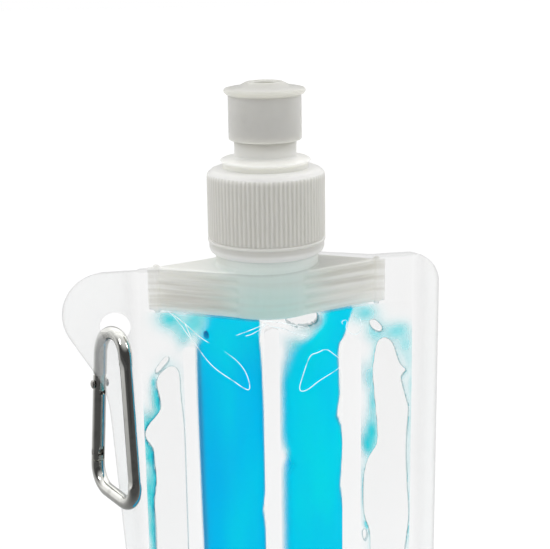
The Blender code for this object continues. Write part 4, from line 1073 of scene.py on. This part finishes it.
def make_carabiner(material):
    """The bent bar with its flattened spine, the gate's two tongues, the rivet's hole and the latch notch."""
    head = PIVOT_Z + GATE_HEAD_R + GATE_GAP
    nose = PIVOT_Z - GATE_LENGTH - GATE_GAP
    corners = [(GATE_X, head), (GATE_X, 0), (SPINE_TOP_X, 0), (SPINE_LOW_X, RING_FOOT),
               (GATE_X, RING_FOOT), (GATE_X, nose)]
    path = dense(rounded_path(corners, BEND_RADII))
    obj = clean(tube(BAR_R, 6, [[(x, 0, z, 1) for x, z in path]]))
    flatten_spine(obj)
    left, right, side = GATE_X - TONGUE_HALF, GATE_X + TONGUE_HALF, TONGUE_THICK / 2
    upper = block((left, -side, PIVOT_Z - TONGUE_DROP), (right, side, head + PAST_END))
    lower = block((left, -side, nose - PAST_END), (right, side, LATCH_TOP))
    notch = block((GATE_X - PIN_R - SLOT_GAP, -CUT_THROUGH, LATCH_Z - PIN_R - SLOT_GAP),
                  (GATE_X + 2 * TONGUE_HALF, CUT_THROUGH, LATCH_Z + PIN_R + SLOT_GAP))
    eye = pin_hole(GATE_X, PIVOT_Z)
    cut(obj, upper, lower, operation="UNION")
    cut(obj, eye, notch)
    hang(obj)
    settle(obj, "carabiner_ring", material, "carabiner", "carabiner_body", angle=50)


def flatten_spine(obj):
    """Presses a flat on each side of the spine, fading out towards the bends."""
    top = Vector((SPINE_TOP_X, 0, 0))
    run = Vector((SPINE_LOW_X, 0, RING_FOOT)) - top
    length = run.length
    run.normalize()
    for vert in obj.data.vertices:
        reach = (vert.co - top).dot(run)
        off = vert.co - top - run * reach
        if vert.co.x < 0 or off.length > 1.5 * BAR_R:
            continue
        fade = float(min(smooth(reach, 6 * MM, 10 * MM), smooth(length - reach, 7 * MM, 10 * MM)))
        limit = mix(BAR_R, SPINE_FLAT * BAR_R, fade)
        vert.co.y = max(-limit, min(limit, vert.co.y))


def make_gate(material):
    """The gate's tube with its round head, slots for the two tongues, bore and pin holes."""
    foot = -GATE_LENGTH
    slot = TONGUE_THICK / 2 + SLOT_GAP
    wide = 2 * BAR_R
    gate = rod(BAR_R, foot, GATE_HEAD_R, 64)
    outside = rod(GATE_HEAD_R, -CUT_THROUGH, CUT_THROUGH, 64, True)
    cut(outside, block((-wide, -CUT_THROUGH, foot - PAST_END), (wide, CUT_THROUGH, 0)), operation="UNION")
    cut(gate, outside, operation="INTERSECT")
    cut(gate, block((-wide, -slot, -TONGUE_DROP - SLOT_ROOM), (wide, slot, 2 * GATE_HEAD_R)),
        block((-wide, -slot, foot - PAST_END), (wide, slot, LATCH_TOP + SLOT_GAP - PIVOT_Z)),
        rod(GATE_BORE_R, -TONGUE_DROP - PLUNGER_ROOM, 0, 32), pin_hole(0, 0), pin_hole(0, LATCH_Z - PIVOT_Z))
    shift(gate, GATE_X, PIVOT_Z)
    hang(gate)
    settle(gate, "gate_tube", material, "gate", "carabiner_gate", angle=50)


# Floor, light and camera
CAMERA_DISTANCE = 420 * MM
CAMERA_RISE = 106 * MM
CAMERA_SIDE = 2.6 * MM
CAMERA_TURN = math.radians(5.5)
CAMERA_PITCH = math.radians(14.7)
CAMERA_ROLL = math.radians(0.8)
FOCAL_PIXELS = 1278
PHOTO_WIDTH = 550
SENSOR_MM = 36
LAMP_SIZE = (0.16, 0.3)
LAMP_WATTS = 1.2
LAMP_TARGET = (0, 0, BOAT_TOP * 0.8)


def make_camera():
    """The photograph's viewpoint: round the spout's axis, above the boat, looking down, slightly rolled."""
    camera = linked("camera", bpy.data.cameras.new("camera"))
    camera.data.sensor_width = SENSOR_MM
    camera.data.lens = FOCAL_PIXELS * SENSOR_MM / PHOTO_WIDTH
    camera.data.clip_start = 0.01
    stand = Matrix.Translation((0, 0, BOAT_TOP + CAMERA_RISE)) @ Matrix.Rotation(-CAMERA_TURN, 4, "Z")
    stand = stand @ Matrix.Translation((CAMERA_SIDE, -CAMERA_DISTANCE, 0))
    tilt = Matrix.Rotation(math.pi / 2 - CAMERA_PITCH, 4, "X") @ Matrix.Rotation(-CAMERA_ROLL, 4, "Z")
    camera.matrix_world = stand @ tilt
    bpy.context.scene.camera = camera


def make_world():
    """White to the camera and through glass; to the object bright above and behind, dimmer in front."""
    world = bpy.data.worlds.new("studio")
    bpy.context.scene.world = world
    world.use_nodes = True
    nodes = Nodes(world.node_tree)
    background = world.node_tree.nodes["Background"].inputs
    background["Color"].default_value = (1, 1, 1, 1)
    place = nodes.node("TexCoord", {}, "Generated")
    depth, rise = place.part("Y"), place.part("Z")
    soft = depth.ramp(-0.8, 0.6, 0.58, 0.76) + rise.ramp(0.2, 1.0, 0.0, 0.30)
    crisp = depth.ramp(-0.35, 0.50, 0.07, 1.30) - depth.ramp(0.86, 0.99, 0.0, 0.80) + rise.ramp(0.25, 0.90, 0.0, 0.90)
    glossy = nodes.ray("Glossy")
    straight = (nodes.ray("Camera") + nodes.ray("Transmission")).ramp(0.0, 1.0)
    level = soft * (1 - glossy) + crisp * glossy
    nodes.feed(background["Strength"], level * (1 - straight) + straight)


def make_floor():
    """Pale to the camera, darker in reflections in front of the pouch, with a lift that evens it out behind."""
    floor = added(bpy.ops.mesh.primitive_plane_add, size=12)
    floor.name = "floor"
    finish = Finish("pale_floor", FLOOR_PALE, 0.6, specular_ior_level=0.2, emission_strength=0.27)
    lift = finish.ray("Camera") * finish.axis("Y").ramp(0.2, 1.5, 0.62, 1.0)
    finish.set(emission_color=finish.node("CombineColor", {0: lift, 1: lift, 2: lift}))
    reflected = finish.mix(finish.axis("Y").ramp(-0.25, 0.6), FLOOR_DARK, FLOOR_BRIGHT)
    finish.set(base_color=finish.mix(finish.ray("Glossy"), FLOOR_PALE, reflected))
    floor.data.materials.append(finish.material)


def make_lamp(name, place):
    lamp = linked(name, bpy.data.lights.new(name, "AREA"))
    lamp.data.shape = "RECTANGLE"
    lamp.data.size, lamp.data.size_y = LAMP_SIZE
    lamp.data.energy = LAMP_WATTS
    lamp.location = place
    lamp.rotation_euler = (Vector(LAMP_TARGET) - Vector(place)).to_track_quat("-Z", "Y").to_euler()


def dress(name, material):
    """A CAD node that stays, in its own finish."""
    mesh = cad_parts[name].data
    mesh.materials.clear()
    mesh.materials.append(material)


film = film_finish()
white = moulded_finish("white_plastic", PLASTIC)
milky = moulded_finish("milky_plastic", FITMENT, teal=0.75)
metal = metal_finish("polished_aluminium", (0.60, 0.60, 0.57), 0.12)
steel = metal_finish("spring_steel", (0.40, 0.39, 0.37), 0.22)
make_film(film)
make_gusset(film)
make_drink(drink_finish())
make_creases(crease_highlight_finish())
make_bubble(painted_shade_bubble_finish())
make_fitment(milky)
make_cap(white)
make_nozzle(white)
make_carabiner(metal)
make_gate(metal)
dress("cap_liner", liner_finish())
for pin in ("gate_rivet", "latch_pin", "gate_plunger", "gate_spring"):
    dress(pin, steel)

make_floor()
make_world()
make_lamp("left_lamp", (-0.55, -0.35, 0.75))
make_lamp("right_lamp", (0.6, -0.2, 0.7))
make_camera()
bpy.context.scene.view_settings.view_transform = "Standard"
